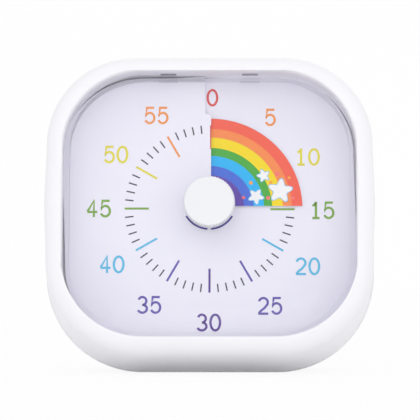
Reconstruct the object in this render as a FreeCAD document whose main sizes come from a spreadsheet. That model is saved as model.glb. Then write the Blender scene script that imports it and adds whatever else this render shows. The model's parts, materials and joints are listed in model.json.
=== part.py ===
import FreeCAD
import Part
import Sketcher
import math
import os

# Visual countdown timer: a reclined case with a window, a dial of 60 minutes,
# a coloured disc that turns through a slit in the dial, and a quartz movement.
# Local frame of every sub-part: X to the right, Y into the case, Z up the face,
# with its origin at the dial's centre. The whole frame leans back on its foot.

VECTOR = FreeCAD.Vector

# Driving sizes in millimetres and degrees
SIZES = {
    "lean": (11.5, "angle by which the face leans back"),
    "case_width": (90.0, "width across the sides"),
    "case_top": (41.4, "dial centre to the top side"),
    "case_bottom": (42.8, "dial centre to the underside at the parting line"),
    "chin_rise": (1.6, "how far the underside rises towards the front"),
    "case_corner": (24.5, "upper corner radius of the case outline"),
    "case_low_corner": (26.5, "lower corner radius of the case outline"),
    "rim_front": (9.0, "dial centre plane to the front rim"),
    "rim_round": (4.4, "rounding of the front rim"),
    "parting": (13.0, "dial plane to the parting line"),
    "case_back": (38.0, "dial plane to the back face"),
    "back_round": (8.0, "rounding of the back edge"),
    "wall": (2.0, "wall of the case"),
    "window_width": (79.5, "width of the window"),
    "window_height": (73.7, "height of the window"),
    "window_corner": (21.7, "corner radius of the window"),
    "lens_depth": (8.3, "dial plane to the lens front"),
    "lens_thick": (1.5, "thickness of the lens front"),
    "lens_wall": (1.6, "thickness of the lens side wall"),
    "lens_hole": (7.2, "radius of the hole round the knob"),
    "fit_gap": (0.15, "gap between parts that are fitted"),
    "ledge_face": (1.6, "dial plane to the ledge under the dial"),
    "ledge_thick": (2.0, "thickness of the ledge"),
    "ledge_hole": (25.9, "radius of the opening in the ledge"),
    "dial_step": (1.8, "height that the dial gains in one turn"),
    "dial_thick": (0.5, "thickness of the dial sheet"),
    "dial_hole": (4.3, "radius of the hole in the dial"),
    "dial_overlap": (0.2, "how far the dial's thick rim reaches past the ledge's opening"),
    "slit_angle": (1.0, "angle of the slit in the dial"),
    "disc_radius": (25.2, "radius of the coloured disc"),
    "disc_thick": (0.3, "thickness of the coloured disc"),
    "disc_bore": (3.8, "radius of the bore of the coloured disc"),
    "disc_start": (90.0, "dial angle of the disc's leading edge as drawn"),
    "hub_radius": (3.5, "radius of the hub in the disc"),
    "hub_gap": (0.3, "gap between the hub and the movement plate"),
    "knob_radius": (6.9, "radius of the knob"),
    "knob_face": (11.4, "dial plane to the knob's face edge"),
    "knob_dome": (0.6, "height of the knob's dome"),
    "knob_back": (5.2, "dial plane to the knob's inner end"),
    "knob_edge": (0.7, "rounding of the knob's face edge"),
    "knob_socket": (4.0, "depth of the knob's socket for the shaft"),
    "knob_grooves": (60, "number of grooves round the knob"),
    "groove_radius": (0.34, "radius of a groove"),
    "groove_out": (0.12, "groove centre outside the knob's radius"),
    "shaft_radius": (1.5, "radius of the setting shaft"),
    "movement_width": (60.0, "width of the movement plate"),
    "movement_height": (58.0, "height of the movement plate"),
    "plate_thick": (1.4, "thickness of the movement plate"),
    "plate_corner": (8.0, "corner radius of the movement plate"),
    "plate_screw": (0.9, "radius of a movement screw"),
    "plate_screw_head": (1.7, "radius of a movement screw's head"),
    "plate_screw_grip": (1.4, "length of a movement screw in the ledge"),
    "small_head": (1.2, "height of a small screw's head"),
    "cover_width": (46.0, "width of the movement cover"),
    "cover_top": (23.5, "shaft to the top of the movement cover"),
    "cover_bottom": (17.0, "shaft to the bottom of the movement cover"),
    "cover_back": (17.0, "dial plane to the back of the movement cover"),
    "cover_wall": (1.2, "wall of the movement cover"),
    "gear_module": (0.2, "module of the gears"),
    "gear_thick": (1.0, "thickness of a gear wheel"),
    "gear_gap": (0.9, "gap between the layers of gear wheels"),
    "gear_start": (1.6, "movement plate to the first gear wheel"),
    "arbor_radius": (0.5, "radius of a gear's arbor"),
    "arbor_seat": (0.5, "depth to which an arbor enters the cover and the plate"),
    "clutch_radius": (3.0, "radius of the clutch washer"),
    "clutch_thick": (0.5, "thickness of the clutch washer"),
    "magnet_radius": (2.6, "radius of the rotor's magnet"),
    "magnet_thick": (1.2, "thickness of the rotor's magnet"),
    "stator_thick": (0.8, "thickness of the stator"),
    "stator_depth": (2.6, "cover's inner face to the front of the stator"),
    "stator_bore": (3.1, "radius of the stator's bore round the magnet"),
    "stator_half": (4.2, "half of the stator's height at the rotor"),
    "stator_past": (4.6, "how far the stator reaches past the rotor's axis"),
    "leg_half": (1.1, "half of the width of the stator's leg"),
    "leg_inset": (5.0, "side of the movement cover to the stator's leg"),
    "leg_bottom": (-12.0, "dial centre to the bottom of the stator's leg"),
    "coil_bottom": (-11.0, "dial centre to the bottom of the coil"),
    "coil_top": (7.0, "dial centre to the top of the coil"),
    "coil_flange": (0.8, "thickness of a flange of the bobbin"),
    "spool_radius": (2.0, "radius of the bobbin's flanges"),
    "core_radius": (1.4, "radius of the bobbin's core"),
    "winding_radius": (1.9, "radius of the winding"),
    "cell_radius": (7.1, "radius of the AA cell"),
    "cell_length": (49.5, "length of the AA cell without its nub"),
    "cell_height": (-17.6, "height of the cell's axis on the face"),
    "nub_radius": (2.7, "radius of the cell's nub"),
    "nub_length": (1.0, "length of the cell's nub"),
    "leaf_thick": (0.5, "thickness of a contact leaf"),
    "leaf_half": (5.0, "half of the height of a contact leaf"),
    "dimple_radius": (2.0, "radius of the plus contact's dimple"),
    "spring_wire": (0.3, "radius of the contact spring's wire"),
    "spring_wide": (3.8, "radius of the contact spring at its leaf"),
    "spring_narrow": (1.8, "radius of the contact spring at the cell"),
    "spring_turns": (3, "turns of the contact spring"),
    "bay_width": (56.0, "inner width of the battery bay"),
    "bay_height": (15.6, "inner height of the battery bay"),
    "bay_wall": (1.4, "wall of the battery bay"),
    "door_thick": (1.6, "thickness of the battery door"),
    "door_gap": (0.3, "gap round the battery door"),
    "door_play": (0.15, "gap under the battery door"),
    "door_lip": (1.6, "overlap of the battery door past the bay"),
    "tab_thick": (0.8, "thickness of a door tab"),
    "tab_reach": (1.2, "reach of a door tab below the bay"),
    "tab_across": (18.0, "centre line to a door tab"),
    "tab_width": (6.0, "width of a door tab"),
    "tab_root": (1.5, "height of a door tab above the bay's lower edge"),
    "tab_swing": (0.9, "room behind a door tab as the door swings"),
    "latch_width": (8.0, "width of the door's latch lip"),
    "latch_reach": (1.6, "reach of the door's latch lip into the bay"),
    "latch_top": (0.2, "bay's upper edge to the top of the latch lip"),
    "latch_tall": (1.1, "height of the door's latch lip"),
    "grip_width": (14.0, "width of the grip lines on the door"),
    "grip_pitch": (1.6, "spacing of the grip lines"),
    "grip_line": (0.8, "width of a grip line"),
    "grip_depth": (0.3, "depth of a grip line"),
    "post_across": (34.0, "centre line to a screw post"),
    "post_top": (21.0, "dial centre to an upper screw post"),
    "post_bottom": (-18.0, "dial centre to a lower screw post"),
    "post_radius": (3.6, "radius of a screw post"),
    "screw_radius": (1.3, "radius of a case screw"),
    "screw_length": (12.0, "length of a case screw"),
    "screw_seat": (20.0, "dial plane to the seat of a case screw"),
    "screw_head": (2.3, "radius of a case screw's head"),
    "screw_head_height": (1.8, "height of a case screw's head"),
    "screw_well": (2.6, "radius of the well for a case screw"),
    "board_width": (46.0, "width of the circuit board"),
    "board_top": (26.0, "dial centre to the top of the circuit board"),
    "board_bottom": (-7.0, "dial centre to the bottom of the circuit board"),
    "board_face": (30.0, "dial plane to the front of the circuit board"),
    "board_thick": (1.2, "thickness of the circuit board"),
    "board_inset": (3.0, "board's edge to a board screw"),
    "board_screw": (0.8, "radius of a board screw"),
    "board_screw_head": (1.6, "radius of a board screw's head"),
    "board_screw_grip": (3.0, "length of a board screw in its post"),
    "board_post": (2.0, "radius of a post for the board"),
    "chip_half": (4.0, "half of the width of the timer chip"),
    "chip_thick": (1.6, "thickness of the timer chip"),
    "chip_drop": (20.0, "board's top to the middle of the timer chip"),
    "crystal_left": (8.0, "centre line to the crystal's can"),
    "crystal_length": (6.0, "length of the crystal's can"),
    "crystal_radius": (1.0, "radius of the crystal's can"),
    "crystal_lead": (0.8, "length of the crystal's base"),
    "crystal_drop": (22.0, "board's top to the crystal"),
    "switch_inset": (9.0, "board's right edge to the volume switch"),
    "switch_drop": (14.0, "board's top to the volume switch"),
    "switch_travel": (4.0, "travel of the volume switch"),
    "switch_half": (4.5, "half of the width of the switch body"),
    "switch_tall": (2.2, "half of the height of the switch body"),
    "switch_depth": (2.4, "depth of the switch body"),
    "stem_half": (1.0, "half of the width of the switch lever's stem"),
    "stem_tall": (0.9, "half of the height of the switch lever's stem"),
    "thumb_half": (1.5, "half of the width of the switch lever's thumb piece"),
    "thumb_rise": (0.8, "how far the thumb piece stands out of the back"),
    "buzzer_inset": (10.0, "board's left edge to the buzzer"),
    "buzzer_drop": (16.0, "board's top to the buzzer"),
    "buzzer_radius": (8.0, "radius of the buzzer"),
    "buzzer_wall": (1.2, "wall of the buzzer"),
    "sound_hole": (0.9, "radius of a sound hole"),
    "sound_ring": (4.0, "radius of the ring of sound holes"),
}

document = FreeCAD.newDocument("visual_timer")
sheet = document.addObject("Spreadsheet::Sheet", "sizes")
for row, (word, (number, meaning)) in enumerate(SIZES.items(), start=1):
    sheet.set(f"A{row}", meaning)
    sheet.set(f"B{row}", str(number))
    sheet.setAlias(f"B{row}", word)
document.recompute()


class Size:
    """A size that knows its value and the sheet formula that gives it."""

    def __init__(self, value, formula):
        self.value = value
        self.formula = formula

    def __add__(self, other):
        other = as_size(other)
        return Size(self.value + other.value, f"({self.formula} + {other.formula})")

    def __sub__(self, other):
        other = as_size(other)
        return Size(self.value - other.value, f"({self.formula} - {other.formula})")

    def __mul__(self, other):
        other = as_size(other)
        return Size(self.value * other.value, f"({self.formula} * {other.formula})")

    def __truediv__(self, other):
        other = as_size(other)
        return Size(self.value / other.value, f"({self.formula} / {other.formula})")

    def __radd__(self, other):
        return as_size(other) + self

    def __rsub__(self, other):
        return as_size(other) - self

    def __rmul__(self, other):
        return as_size(other) * self

    def __neg__(self):
        return Size(-self.value, f"(-1 * {self.formula})")


def as_size(number):
    """A plain number as a size."""
    return number if isinstance(number, Size) else Size(float(number), f"({float(number)})")


def dim(word):
    """The sheet's cell of this name."""
    return Size(float(sheet.get(word)), f"sizes.{word}")


def sine(angle):
    return Size(math.sin(math.radians(angle.value)), f"sin({angle.formula} * 1 deg)")


def cosine(angle):
    return Size(math.cos(math.radians(angle.value)), f"cos({angle.formula} * 1 deg)")


def bind(thing, name, size):
    """Ties one property of an object to the sheet."""
    thing.setExpression(name, as_size(size).formula)


LEAN = dim("lean")
CASE_HALF = dim("case_width") / 2
PARTING = dim("parting")
CASE_BACK = dim("case_back")
# Behind the parting line the case runs level, so its underside is the foot.
CENTRE_HEIGHT = dim("case_bottom") * cosine(LEAN) + PARTING * sine(LEAN)
CLIMB = sine(LEAN) / cosine(LEAN)
# Row-frame depth of the lowest front corner and of the highest back corner
FRONT_REACH = -1 * dim("rim_front") * cosine(LEAN) - (
    dim("case_bottom") - dim("chin_rise") - dim("rim_round")
) * sine(LEAN)
TOP_REACH = dim("case_top") * cosine(LEAN) - PARTING * sine(LEAN) - dim("back_round")
BACK_REACH = (CASE_BACK - dim("back_round") + TOP_REACH * sine(LEAN)) / cosine(LEAN) + dim("back_round")
CENTRE_SETBACK = -1 * (FRONT_REACH + BACK_REACH) / 2

NODES = []


def seat(thing, label):
    """Leans a finished sub-part back with the face and names it."""
    thing.Label = label
    thing.Placement = FreeCAD.Placement(VECTOR(0, 0, 0), FreeCAD.Rotation(VECTOR(1, 0, 0), -LEAN.value))
    thing.setExpression("Placement.Rotation.Angle", f"-1 * {LEAN.formula} * 1 deg")
    bind(thing, "Placement.Base.y", CENTRE_SETBACK)
    bind(thing, "Placement.Base.z", CENTRE_HEIGHT)
    NODES.append(thing)
    return thing


# Building blocks in the local frame
PAST = 1.0  # how far a cutting tool runs past a face
SINK = 0.2  # how far a feature runs into the body it grows from
SNUG = 0.02  # radial gap between a pin and the part fixed on it
RUNNING = 0.06  # radial gap between an arbor and its bearing
RIGHT_ANGLE = 90


def block(name, left, right, front, back, bottom, top):
    """A box between six local planes."""
    box = document.addObject("Part::Box", name)
    bind(box, "Length", right - left)
    bind(box, "Width", back - front)
    bind(box, "Height", top - bottom)
    bind(box, "Placement.Base.x", left)
    bind(box, "Placement.Base.y", front)
    bind(box, "Placement.Base.z", bottom)
    return box


def rod(name, across, height, front, back, radius):
    """A cylinder that runs into the case."""
    cylinder = document.addObject("Part::Cylinder", name)
    cylinder.Placement.Rotation = FreeCAD.Rotation(VECTOR(1, 0, 0), -RIGHT_ANGLE)
    bind(cylinder, "Radius", radius)
    bind(cylinder, "Height", as_size(back) - as_size(front))
    bind(cylinder, "Placement.Base.x", across)
    bind(cylinder, "Placement.Base.y", front)
    bind(cylinder, "Placement.Base.z", height)
    return cylinder


def bar(name, left, right, depth, height, radius):
    """A cylinder that runs from left to right."""
    cylinder = document.addObject("Part::Cylinder", name)
    cylinder.Placement.Rotation = FreeCAD.Rotation(VECTOR(0, 1, 0), RIGHT_ANGLE)
    bind(cylinder, "Radius", radius)
    bind(cylinder, "Height", as_size(right) - as_size(left))
    bind(cylinder, "Placement.Base.x", left)
    bind(cylinder, "Placement.Base.y", depth)
    bind(cylinder, "Placement.Base.z", height)
    return cylinder


def fuse(name, pieces):
    joined = document.addObject("Part::MultiFuse", name)
    joined.Shapes = pieces
    return joined


def cut(name, base, tools):
    """The base with each tool taken out of it."""
    for number, tool in enumerate(tools):
        carved = document.addObject("Part::Cut", f"{name}_{number}")
        carved.Base = base
        carved.Tool = tool
        base = carved
    return base


def node(label, thing):
    """A finished sub-part made of primitives."""
    whole = document.addObject("Part::Refine", label)
    whole.Source = thing
    return seat(whole, label)


def plane_of(body, role):
    return next(plane for plane in body.Origin.OriginFeatures if plane.Role == role)


def sketch_on(body, name, role, offset=0.0):
    sketch = body.newObject("Sketcher::SketchObject", name)
    sketch.AttachmentSupport = [(plane_of(body, role), "")]
    sketch.MapMode = "FlatFace"
    bind(sketch, "AttachmentOffset.Base.z", offset)
    return sketch


def polygon(sketch, corners):
    """A closed outline whose every corner is tied to the sheet."""
    points = [VECTOR(as_size(a).value, as_size(b).value, 0) for a, b in corners]
    count = len(points)
    first = sketch.GeometryCount
    for number in range(count):
        sketch.addGeometry(Part.LineSegment(points[number], points[(number + 1) % count]))
    for number in range(count):
        sketch.addConstraint(
            Sketcher.Constraint("Coincident", first + number, 2, first + (number + 1) % count, 1)
        )
    for number, corner in enumerate(corners):
        for kind, size in zip(("DistanceX", "DistanceY"), corner):
            size = as_size(size)
            place = sketch.addConstraint(
                Sketcher.Constraint(kind, -1, 1, first + number, 1, size.value)
            )
            bind(sketch, f"Constraints[{place}]", size)


def circle(sketch, across, height, radius):
    across, height, radius = as_size(across), as_size(height), as_size(radius)
    centre = VECTOR(across.value, height.value, 0)
    number = sketch.addGeometry(Part.Circle(centre, VECTOR(0, 0, 1), radius.value))
    for kind, size in (("DistanceX", across), ("DistanceY", height)):
        place = sketch.addConstraint(Sketcher.Constraint(kind, -1, 1, number, 3, size.value))
        bind(sketch, f"Constraints[{place}]", size)
    place = sketch.addConstraint(Sketcher.Constraint("Radius", number, radius.value))
    bind(sketch, f"Constraints[{place}]", radius)


def rectangle(left, right, bottom, top):
    return [(left, bottom), (right, bottom), (right, top), (left, top)]


def face_sketch(body, name, depth):
    """A sketch parallel to the face, at a depth into the case."""
    return sketch_on(body, name, "XZ_Plane", -1 * as_size(depth))


def pad(body, name, sketch, length):
    """Adds material from the sketch into the case."""
    feature = body.newObject("PartDesign::Pad", name)
    feature.Profile = sketch
    feature.Reversed = True
    bind(feature, "Length", length)
    document.recompute()
    return feature


def level_pad(body, name, sketch, length):
    """Adds material from the sketch into the case, level with the desk."""
    feature = body.newObject("PartDesign::Pad", name)
    feature.Profile = sketch
    feature.UseCustomVector = True
    feature.Direction = VECTOR(0, 1, CLIMB.value)
    feature.AlongSketchNormal = True
    bind(feature, "Direction.z", CLIMB)
    bind(feature, "Length", length)
    document.recompute()
    return feature


def pocket(body, name, sketch, length):
    """Takes material away from the sketch into the case."""
    before = body.Shape.Volume
    feature = body.newObject("PartDesign::Pocket", name)
    feature.Profile = sketch
    bind(feature, "Length", length)
    document.recompute()
    if not feature.Shape.Volume < before:
        raise ValueError(f"{name} cuts nothing")
    return feature


def edges_where(feature, wanted):
    return [
        f"Edge{number}"
        for number, edge in enumerate(feature.Shape.Edges, start=1)
        if wanted(edge)
    ]


def runs_inward(edge):
    """True for a straight edge that runs mostly into the case."""
    return edge.Curve.TypeId == "Part::GeomLine" and abs(edge.tangentAt(edge.FirstParameter).y) > 0.9


def upper_corner(edge):
    return runs_inward(edge) and edge.CenterOfMass.z > 0


def lower_corner(edge):
    return runs_inward(edge) and edge.CenterOfMass.z < 0


def lies_at(depth):
    """True for edges that lie whole in one plane parallel to the face."""

    def wanted(edge):
        box = edge.BoundBox
        return abs(box.YMin - depth) < 1e-4 and abs(box.YMax - depth) < 1e-4

    return wanted


def round_edges(body, name, feature, wanted, radius):
    rounding = body.newObject("PartDesign::Fillet", name)
    rounding.Base = (feature, edges_where(feature, wanted))
    bind(rounding, "Radius", radius)
    document.recompute()
    return rounding


def slab(name, outline, front, back, corner):
    """A flat rounded block, used alone or as a cutting tool."""
    body = document.addObject("PartDesign::Body", name)
    sketch = face_sketch(body, f"{name}_outline", front)
    polygon(sketch, outline)
    block_pad = pad(body, f"{name}_pad", sketch, as_size(back) - as_size(front))
    round_edges(body, f"{name}_corners", block_pad, runs_inward, corner)
    return body


# Case shell: front rim, window, ledge under the dial and bosses for the screws
RIM = -1 * dim("rim_front")
GAP = dim("fit_gap")
LEDGE = dim("ledge_face")
LEDGE_BACK = LEDGE + dim("ledge_thick")
HUB_BACK = LEDGE_BACK - dim("hub_gap")
WALL = dim("wall")
INNER_HALF = CASE_HALF - WALL
INNER_CORNER = dim("case_corner") - WALL
POSTS = [
    (side * dim("post_across"), height)
    for side in (-1, 1)
    for height in (dim("post_top"), dim("post_bottom"))
]


def build_case_shell():
    body = document.addObject("PartDesign::Body", "case_block")
    sketch = sketch_on(body, "case_side", "YZ_Plane")
    bottom = -1 * dim("case_bottom")
    polygon(
        sketch,
        [
            (RIM, bottom + dim("chin_rise")),
            (PARTING, bottom),
            (PARTING, dim("case_top")),
            (RIM, dim("case_top")),
        ],
    )
    block_pad = body.newObject("PartDesign::Pad", "case_pad")
    block_pad.Profile = sketch
    block_pad.SideType = "Symmetric"
    bind(block_pad, "Length", dim("case_width"))
    document.recompute()
    upper = round_edges(body, "case_corners", block_pad, upper_corner, dim("case_corner"))
    corners = round_edges(body, "case_low_corners", upper, lower_corner, dim("case_low_corner"))
    round_edges(body, "case_rim", corners, lies_at(RIM.value), dim("rim_round"))
    window = slab(
        "window_space",
        rectangle(
            -1 * dim("window_width") / 2,
            dim("window_width") / 2,
            -1 * dim("window_height") / 2,
            dim("window_height") / 2,
        ),
        RIM - PAST,
        LEDGE,
        dim("window_corner"),
    )
    opening = rod("ledge_opening", 0, 0, LEDGE - PAST, LEDGE_BACK + PAST, dim("ledge_hole"))
    hollow = slab(
        "case_hollow",
        rectangle(
            -1 * INNER_HALF,
            INNER_HALF,
            WALL + dim("chin_rise") - dim("case_bottom"),
            dim("case_top") - WALL,
        ),
        LEDGE_BACK,
        PARTING + PAST,
        INNER_CORNER,
    )
    shell = cut("case_carved", body, [window, opening, hollow])
    bosses = [
        rod(f"case_boss_{number}", x, z, LEDGE_BACK - SINK, PARTING, dim("post_radius"))
        for number, (x, z) in enumerate(POSTS)
    ]
    holes = [
        rod(f"case_pilot_{number}", x, z, LEDGE_BACK + SINK, PARTING + PAST, dim("screw_radius"))
        for number, (x, z) in enumerate(POSTS)
    ]
    holes += [
        rod(
            f"ledge_pilot_{number}",
            x,
            z,
            LEDGE_BACK - dim("plate_screw_grip") - SINK,
            LEDGE_BACK + PAST,
            dim("plate_screw") + SNUG,
        )
        for number, (x, z) in enumerate(movement_spots())
    ]
    whole = cut("case_drilled", fuse("case_bossed", [shell] + bosses), holes)
    return node("case_shell", whole)


# Rear cover: hollow tub with a level underside, screw posts and the battery bay
CELL_HEIGHT = dim("cell_height")
CELL_ROOM = 0.6  # bay's depth beyond the cell
BAY_HALF = dim("bay_width") / 2
BAY_BOTTOM = CELL_HEIGHT - dim("bay_height") / 2
BAY_TOP = CELL_HEIGHT + dim("bay_height") / 2
DOOR_FACE = CASE_BACK - dim("door_thick")
BAY_FLOOR = DOOR_FACE - dim("cell_radius") * 2 - CELL_ROOM
DOOR_LIP = dim("door_lip")
TAB_THICK = dim("tab_thick")
TAB_REACH = dim("tab_reach")
TAB_ACROSS = dim("tab_across")
TAB_HALF = dim("tab_width") / 2
DOOR_GAP = dim("door_gap")
# The door's lower edge is round about the line on which the door swings.
DOOR_LOWER = BAY_BOTTOM + dim("door_play")
HINGE_RADIUS = (dim("door_thick") - SNUG) / 2
HINGE_DEPTH = CASE_BACK - HINGE_RADIUS
HINGE_HEIGHT = DOOR_LOWER + HINGE_RADIUS
LATCH_HALF = dim("latch_width") / 2
GRIP_HALF = dim("grip_width") / 2
GRIP_LINES = 3
SWITCH_ACROSS = dim("board_width") / 2 - dim("switch_inset")
SWITCH_HEIGHT = dim("board_top") - dim("switch_drop")
THUMB_HALF = dim("thumb_half")
SLOT_HALF = THUMB_HALF + dim("door_gap")
BUZZER_ACROSS = dim("buzzer_inset") - dim("board_width") / 2
BUZZER_HEIGHT = dim("board_top") - dim("buzzer_drop")
SOUND_HOLES = [(0.0, 0.0)] + [(dim("sound_ring"), math.radians(60 * step)) for step in range(6)]


def tub(name, half, bottom, top, front, back, shrink):
    """A block that runs level from the parting line, rounded at corners and back."""
    body = document.addObject("PartDesign::Body", name)
    sketch = face_sketch(body, f"{name}_outline", front)
    drop = (PARTING - front) * CLIMB
    polygon(sketch, rectangle(-1 * half, half, bottom - drop, top - drop))
    block_pad = level_pad(body, f"{name}_pad", sketch, back - front)
    upper = round_edges(
        body, f"{name}_corners", block_pad, upper_corner, dim("case_corner") - shrink
    )
    corners = round_edges(
        body, f"{name}_low_corners", upper, lower_corner, dim("case_low_corner") - shrink
    )
    round_edges(body, f"{name}_back", corners, lies_at(back.value), dim("back_round") - shrink)
    return body


def build_rear_cover():
    body = tub(
        "cover_block",
        CASE_HALF,
        -1 * dim("case_bottom"),
        dim("case_top"),
        PARTING,
        CASE_BACK,
        as_size(0),
    )
    hollow = tub(
        "cover_hollow",
        INNER_HALF,
        WALL - dim("case_bottom"),
        dim("case_top") - WALL,
        PARTING - PAST,
        CASE_BACK - WALL,
        WALL,
    )
    shell = cut("cover_shelled", body, [hollow])
    wall = dim("bay_wall")
    inner_back = CASE_BACK - WALL
    bay = block(
        "bay_walls",
        -1 * BAY_HALF - wall,
        BAY_HALF + wall,
        BAY_FLOOR - wall,
        inner_back + SINK,
        BAY_BOTTOM - wall,
        BAY_TOP + wall,
    )
    posts = [
        rod(f"cover_post_{number}", x, z, PARTING, inner_back + SINK, dim("post_radius"))
        for number, (x, z) in enumerate(POSTS)
    ]
    board_posts = [
        rod(f"board_post_{number}", x, z, board_back(), inner_back + SINK, dim("board_post"))
        for number, (x, z) in enumerate(board_holes())
    ]
    solid = fuse("cover_filled", [shell, bay] + posts + board_posts)
    space = block(
        "bay_space", -1 * BAY_HALF, BAY_HALF, BAY_FLOOR, CASE_BACK + PAST, BAY_BOTTOM, BAY_TOP
    )
    recess = block(
        "door_recess",
        -1 * BAY_HALF - DOOR_LIP,
        BAY_HALF + DOOR_LIP,
        DOOR_FACE,
        CASE_BACK + PAST,
        BAY_BOTTOM,
        BAY_TOP + DOOR_LIP,
    )
    tab_slots = [
        block(
            f"tab_slot_{number}",
            side * TAB_ACROSS - TAB_HALF - DOOR_GAP,
            side * TAB_ACROSS + TAB_HALF + DOOR_GAP,
            DOOR_FACE - TAB_THICK - dim("tab_swing"),
            DOOR_FACE,
            BAY_BOTTOM - TAB_REACH - DOOR_GAP,
            BAY_BOTTOM + SINK,
        )
        for number, side in enumerate((-1, 1))
    ]
    latch_slot = block(
        "latch_slot",
        -1 * LATCH_HALF - DOOR_GAP,
        LATCH_HALF + DOOR_GAP,
        DOOR_FACE - dim("latch_reach") - 2 * DOOR_GAP,
        DOOR_FACE + SINK,
        BAY_TOP - SINK,
        BAY_TOP + PAST,
    )
    wells = [
        rod(f"head_space_{number}", x, z, dim("screw_seat"), CASE_BACK + PAST, dim("screw_well"))
        for number, (x, z) in enumerate(POSTS)
    ]
    shanks = [
        rod(
            f"shank_space_{number}",
            x,
            z,
            PARTING - PAST,
            dim("screw_seat") + PAST,
            dim("screw_radius") + SINK,
        )
        for number, (x, z) in enumerate(POSTS)
    ]
    pilots = [
        rod(
            f"board_pilot_{number}",
            x,
            z,
            board_back() - PAST,
            board_back() + dim("board_screw_grip") + SINK,
            dim("board_screw"),
        )
        for number, (x, z) in enumerate(board_holes())
    ]
    switch_slot = block(
        "switch_slot",
        SWITCH_ACROSS - SLOT_HALF - dim("switch_travel") / 2,
        SWITCH_ACROSS + SLOT_HALF + dim("switch_travel") / 2,
        inner_back - PAST,
        CASE_BACK + PAST,
        SWITCH_HEIGHT - SLOT_HALF,
        SWITCH_HEIGHT + SLOT_HALF,
    )
    sound = [
        rod(
            f"sound_hole_{number}",
            BUZZER_ACROSS + ring * math.cos(turn),
            BUZZER_HEIGHT + ring * math.sin(turn),
            inner_back - PAST,
            CASE_BACK + PAST,
            dim("sound_hole"),
        )
        for number, (ring, turn) in enumerate(SOUND_HOLES)
    ]
    tools = [space, recess, latch_slot, switch_slot] + tab_slots + wells + shanks + pilots + sound
    return node("rear_cover", cut("cover_carved", solid, [fuse("cover_tools", tools)]))


# Battery door: swings on its round lower edge, hooks into the bay with two tabs
# and holds with a latch lip at the top


def build_battery_door():
    left, right = DOOR_GAP - BAY_HALF - DOOR_LIP, BAY_HALF + DOOR_LIP - DOOR_GAP
    pieces = [
        block(
            "door_leaf",
            left,
            right,
            DOOR_FACE + SNUG,
            CASE_BACK,
            HINGE_HEIGHT,
            BAY_TOP + DOOR_LIP - DOOR_GAP,
        ),
        bar("door_hinge", left, right, HINGE_DEPTH, HINGE_HEIGHT, HINGE_RADIUS),
        block(
            "door_latch",
            -1 * LATCH_HALF,
            LATCH_HALF,
            DOOR_FACE - dim("latch_reach"),
            DOOR_FACE + SINK,
            BAY_TOP - dim("latch_top") - dim("latch_tall"),
            BAY_TOP - dim("latch_top"),
        ),
    ]
    for number, side in enumerate((-1, 1)):
        start, end = side * TAB_ACROSS - TAB_HALF, side * TAB_ACROSS + TAB_HALF
        root_top = BAY_BOTTOM + dim("tab_root")
        tab_end = BAY_BOTTOM - TAB_REACH + DOOR_GAP
        pieces.append(
            block(f"door_tab_{number}", start, end, DOOR_FACE - TAB_THICK, DOOR_FACE, tab_end, root_top)
        )
        pieces.append(
            block(
                f"door_tab_root_{number}",
                start,
                end,
                DOOR_FACE - SINK,
                HINGE_DEPTH,
                DOOR_LOWER + SINK,
                root_top,
            )
        )
    half_line = dim("grip_line") / 2
    grips = []
    for number in range(GRIP_LINES):
        line = BAY_TOP - PAST - dim("grip_pitch") * number
        grips.append(
            block(
                f"door_grip_{number}",
                -1 * GRIP_HALF,
                GRIP_HALF,
                CASE_BACK - dim("grip_depth"),
                CASE_BACK + PAST,
                line - half_line,
                line + half_line,
            )
        )
    return node("battery_door", cut("door_grooved", fuse("door_parts", pieces), grips))


# Circuit board with its parts, screwed to posts in the rear cover


def board_back():
    return dim("board_face") + dim("board_thick")


def board_holes():
    across = dim("board_width") / 2 - dim("board_inset")
    return [
        (across, dim("board_top") - dim("board_inset")),
        (-1 * across, dim("board_bottom") + dim("board_inset")),
    ]


def build_board():
    half = dim("board_width") / 2
    face, back = dim("board_face"), board_back()
    radius = dim("board_screw")
    board = block("board_blank", -1 * half, half, face, back, dim("board_bottom"), dim("board_top"))
    holes = []
    screws = []
    for number, (x, z) in enumerate(board_holes()):
        holes.append(rod(f"board_hole_{number}", x, z, face - PAST, back + PAST, radius + GAP))
        screws.append(
            rod(f"board_head_{number}", x, z, face - dim("small_head"), face, dim("board_screw_head"))
        )
        screws.append(
            rod(
                f"board_shank_{number}",
                x,
                z,
                face - SINK,
                back + dim("board_screw_grip"),
                radius - SNUG,
            )
        )
    node("circuit_board", cut("board_drilled", board, holes))
    node("board_screws", fuse("board_screw_pair", screws))

    chip = dim("chip_half")
    chip_height = dim("board_top") - dim("chip_drop")
    chip_front = face - dim("chip_thick")
    node(
        "timer_chip",
        block("chip_block", -1 * chip, chip, chip_front, face, chip_height - chip, chip_height + chip),
    )
    can_left = dim("crystal_left")
    can_height = dim("board_top") - dim("crystal_drop")
    can_radius = dim("crystal_radius")
    can = bar(
        "crystal_can",
        can_left,
        can_left + dim("crystal_length"),
        face - can_radius - SINK / 2,
        can_height,
        can_radius,
    )
    base = block(
        "crystal_base",
        can_left - dim("crystal_lead"),
        can_left + SINK,
        face - dim("chip_thick"),
        face,
        can_height - can_radius / 2,
        can_height + can_radius / 2,
    )
    node("crystal", fuse("crystal_parts", [can, base]))
    build_switch(back)
    build_buzzer(back)


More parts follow.
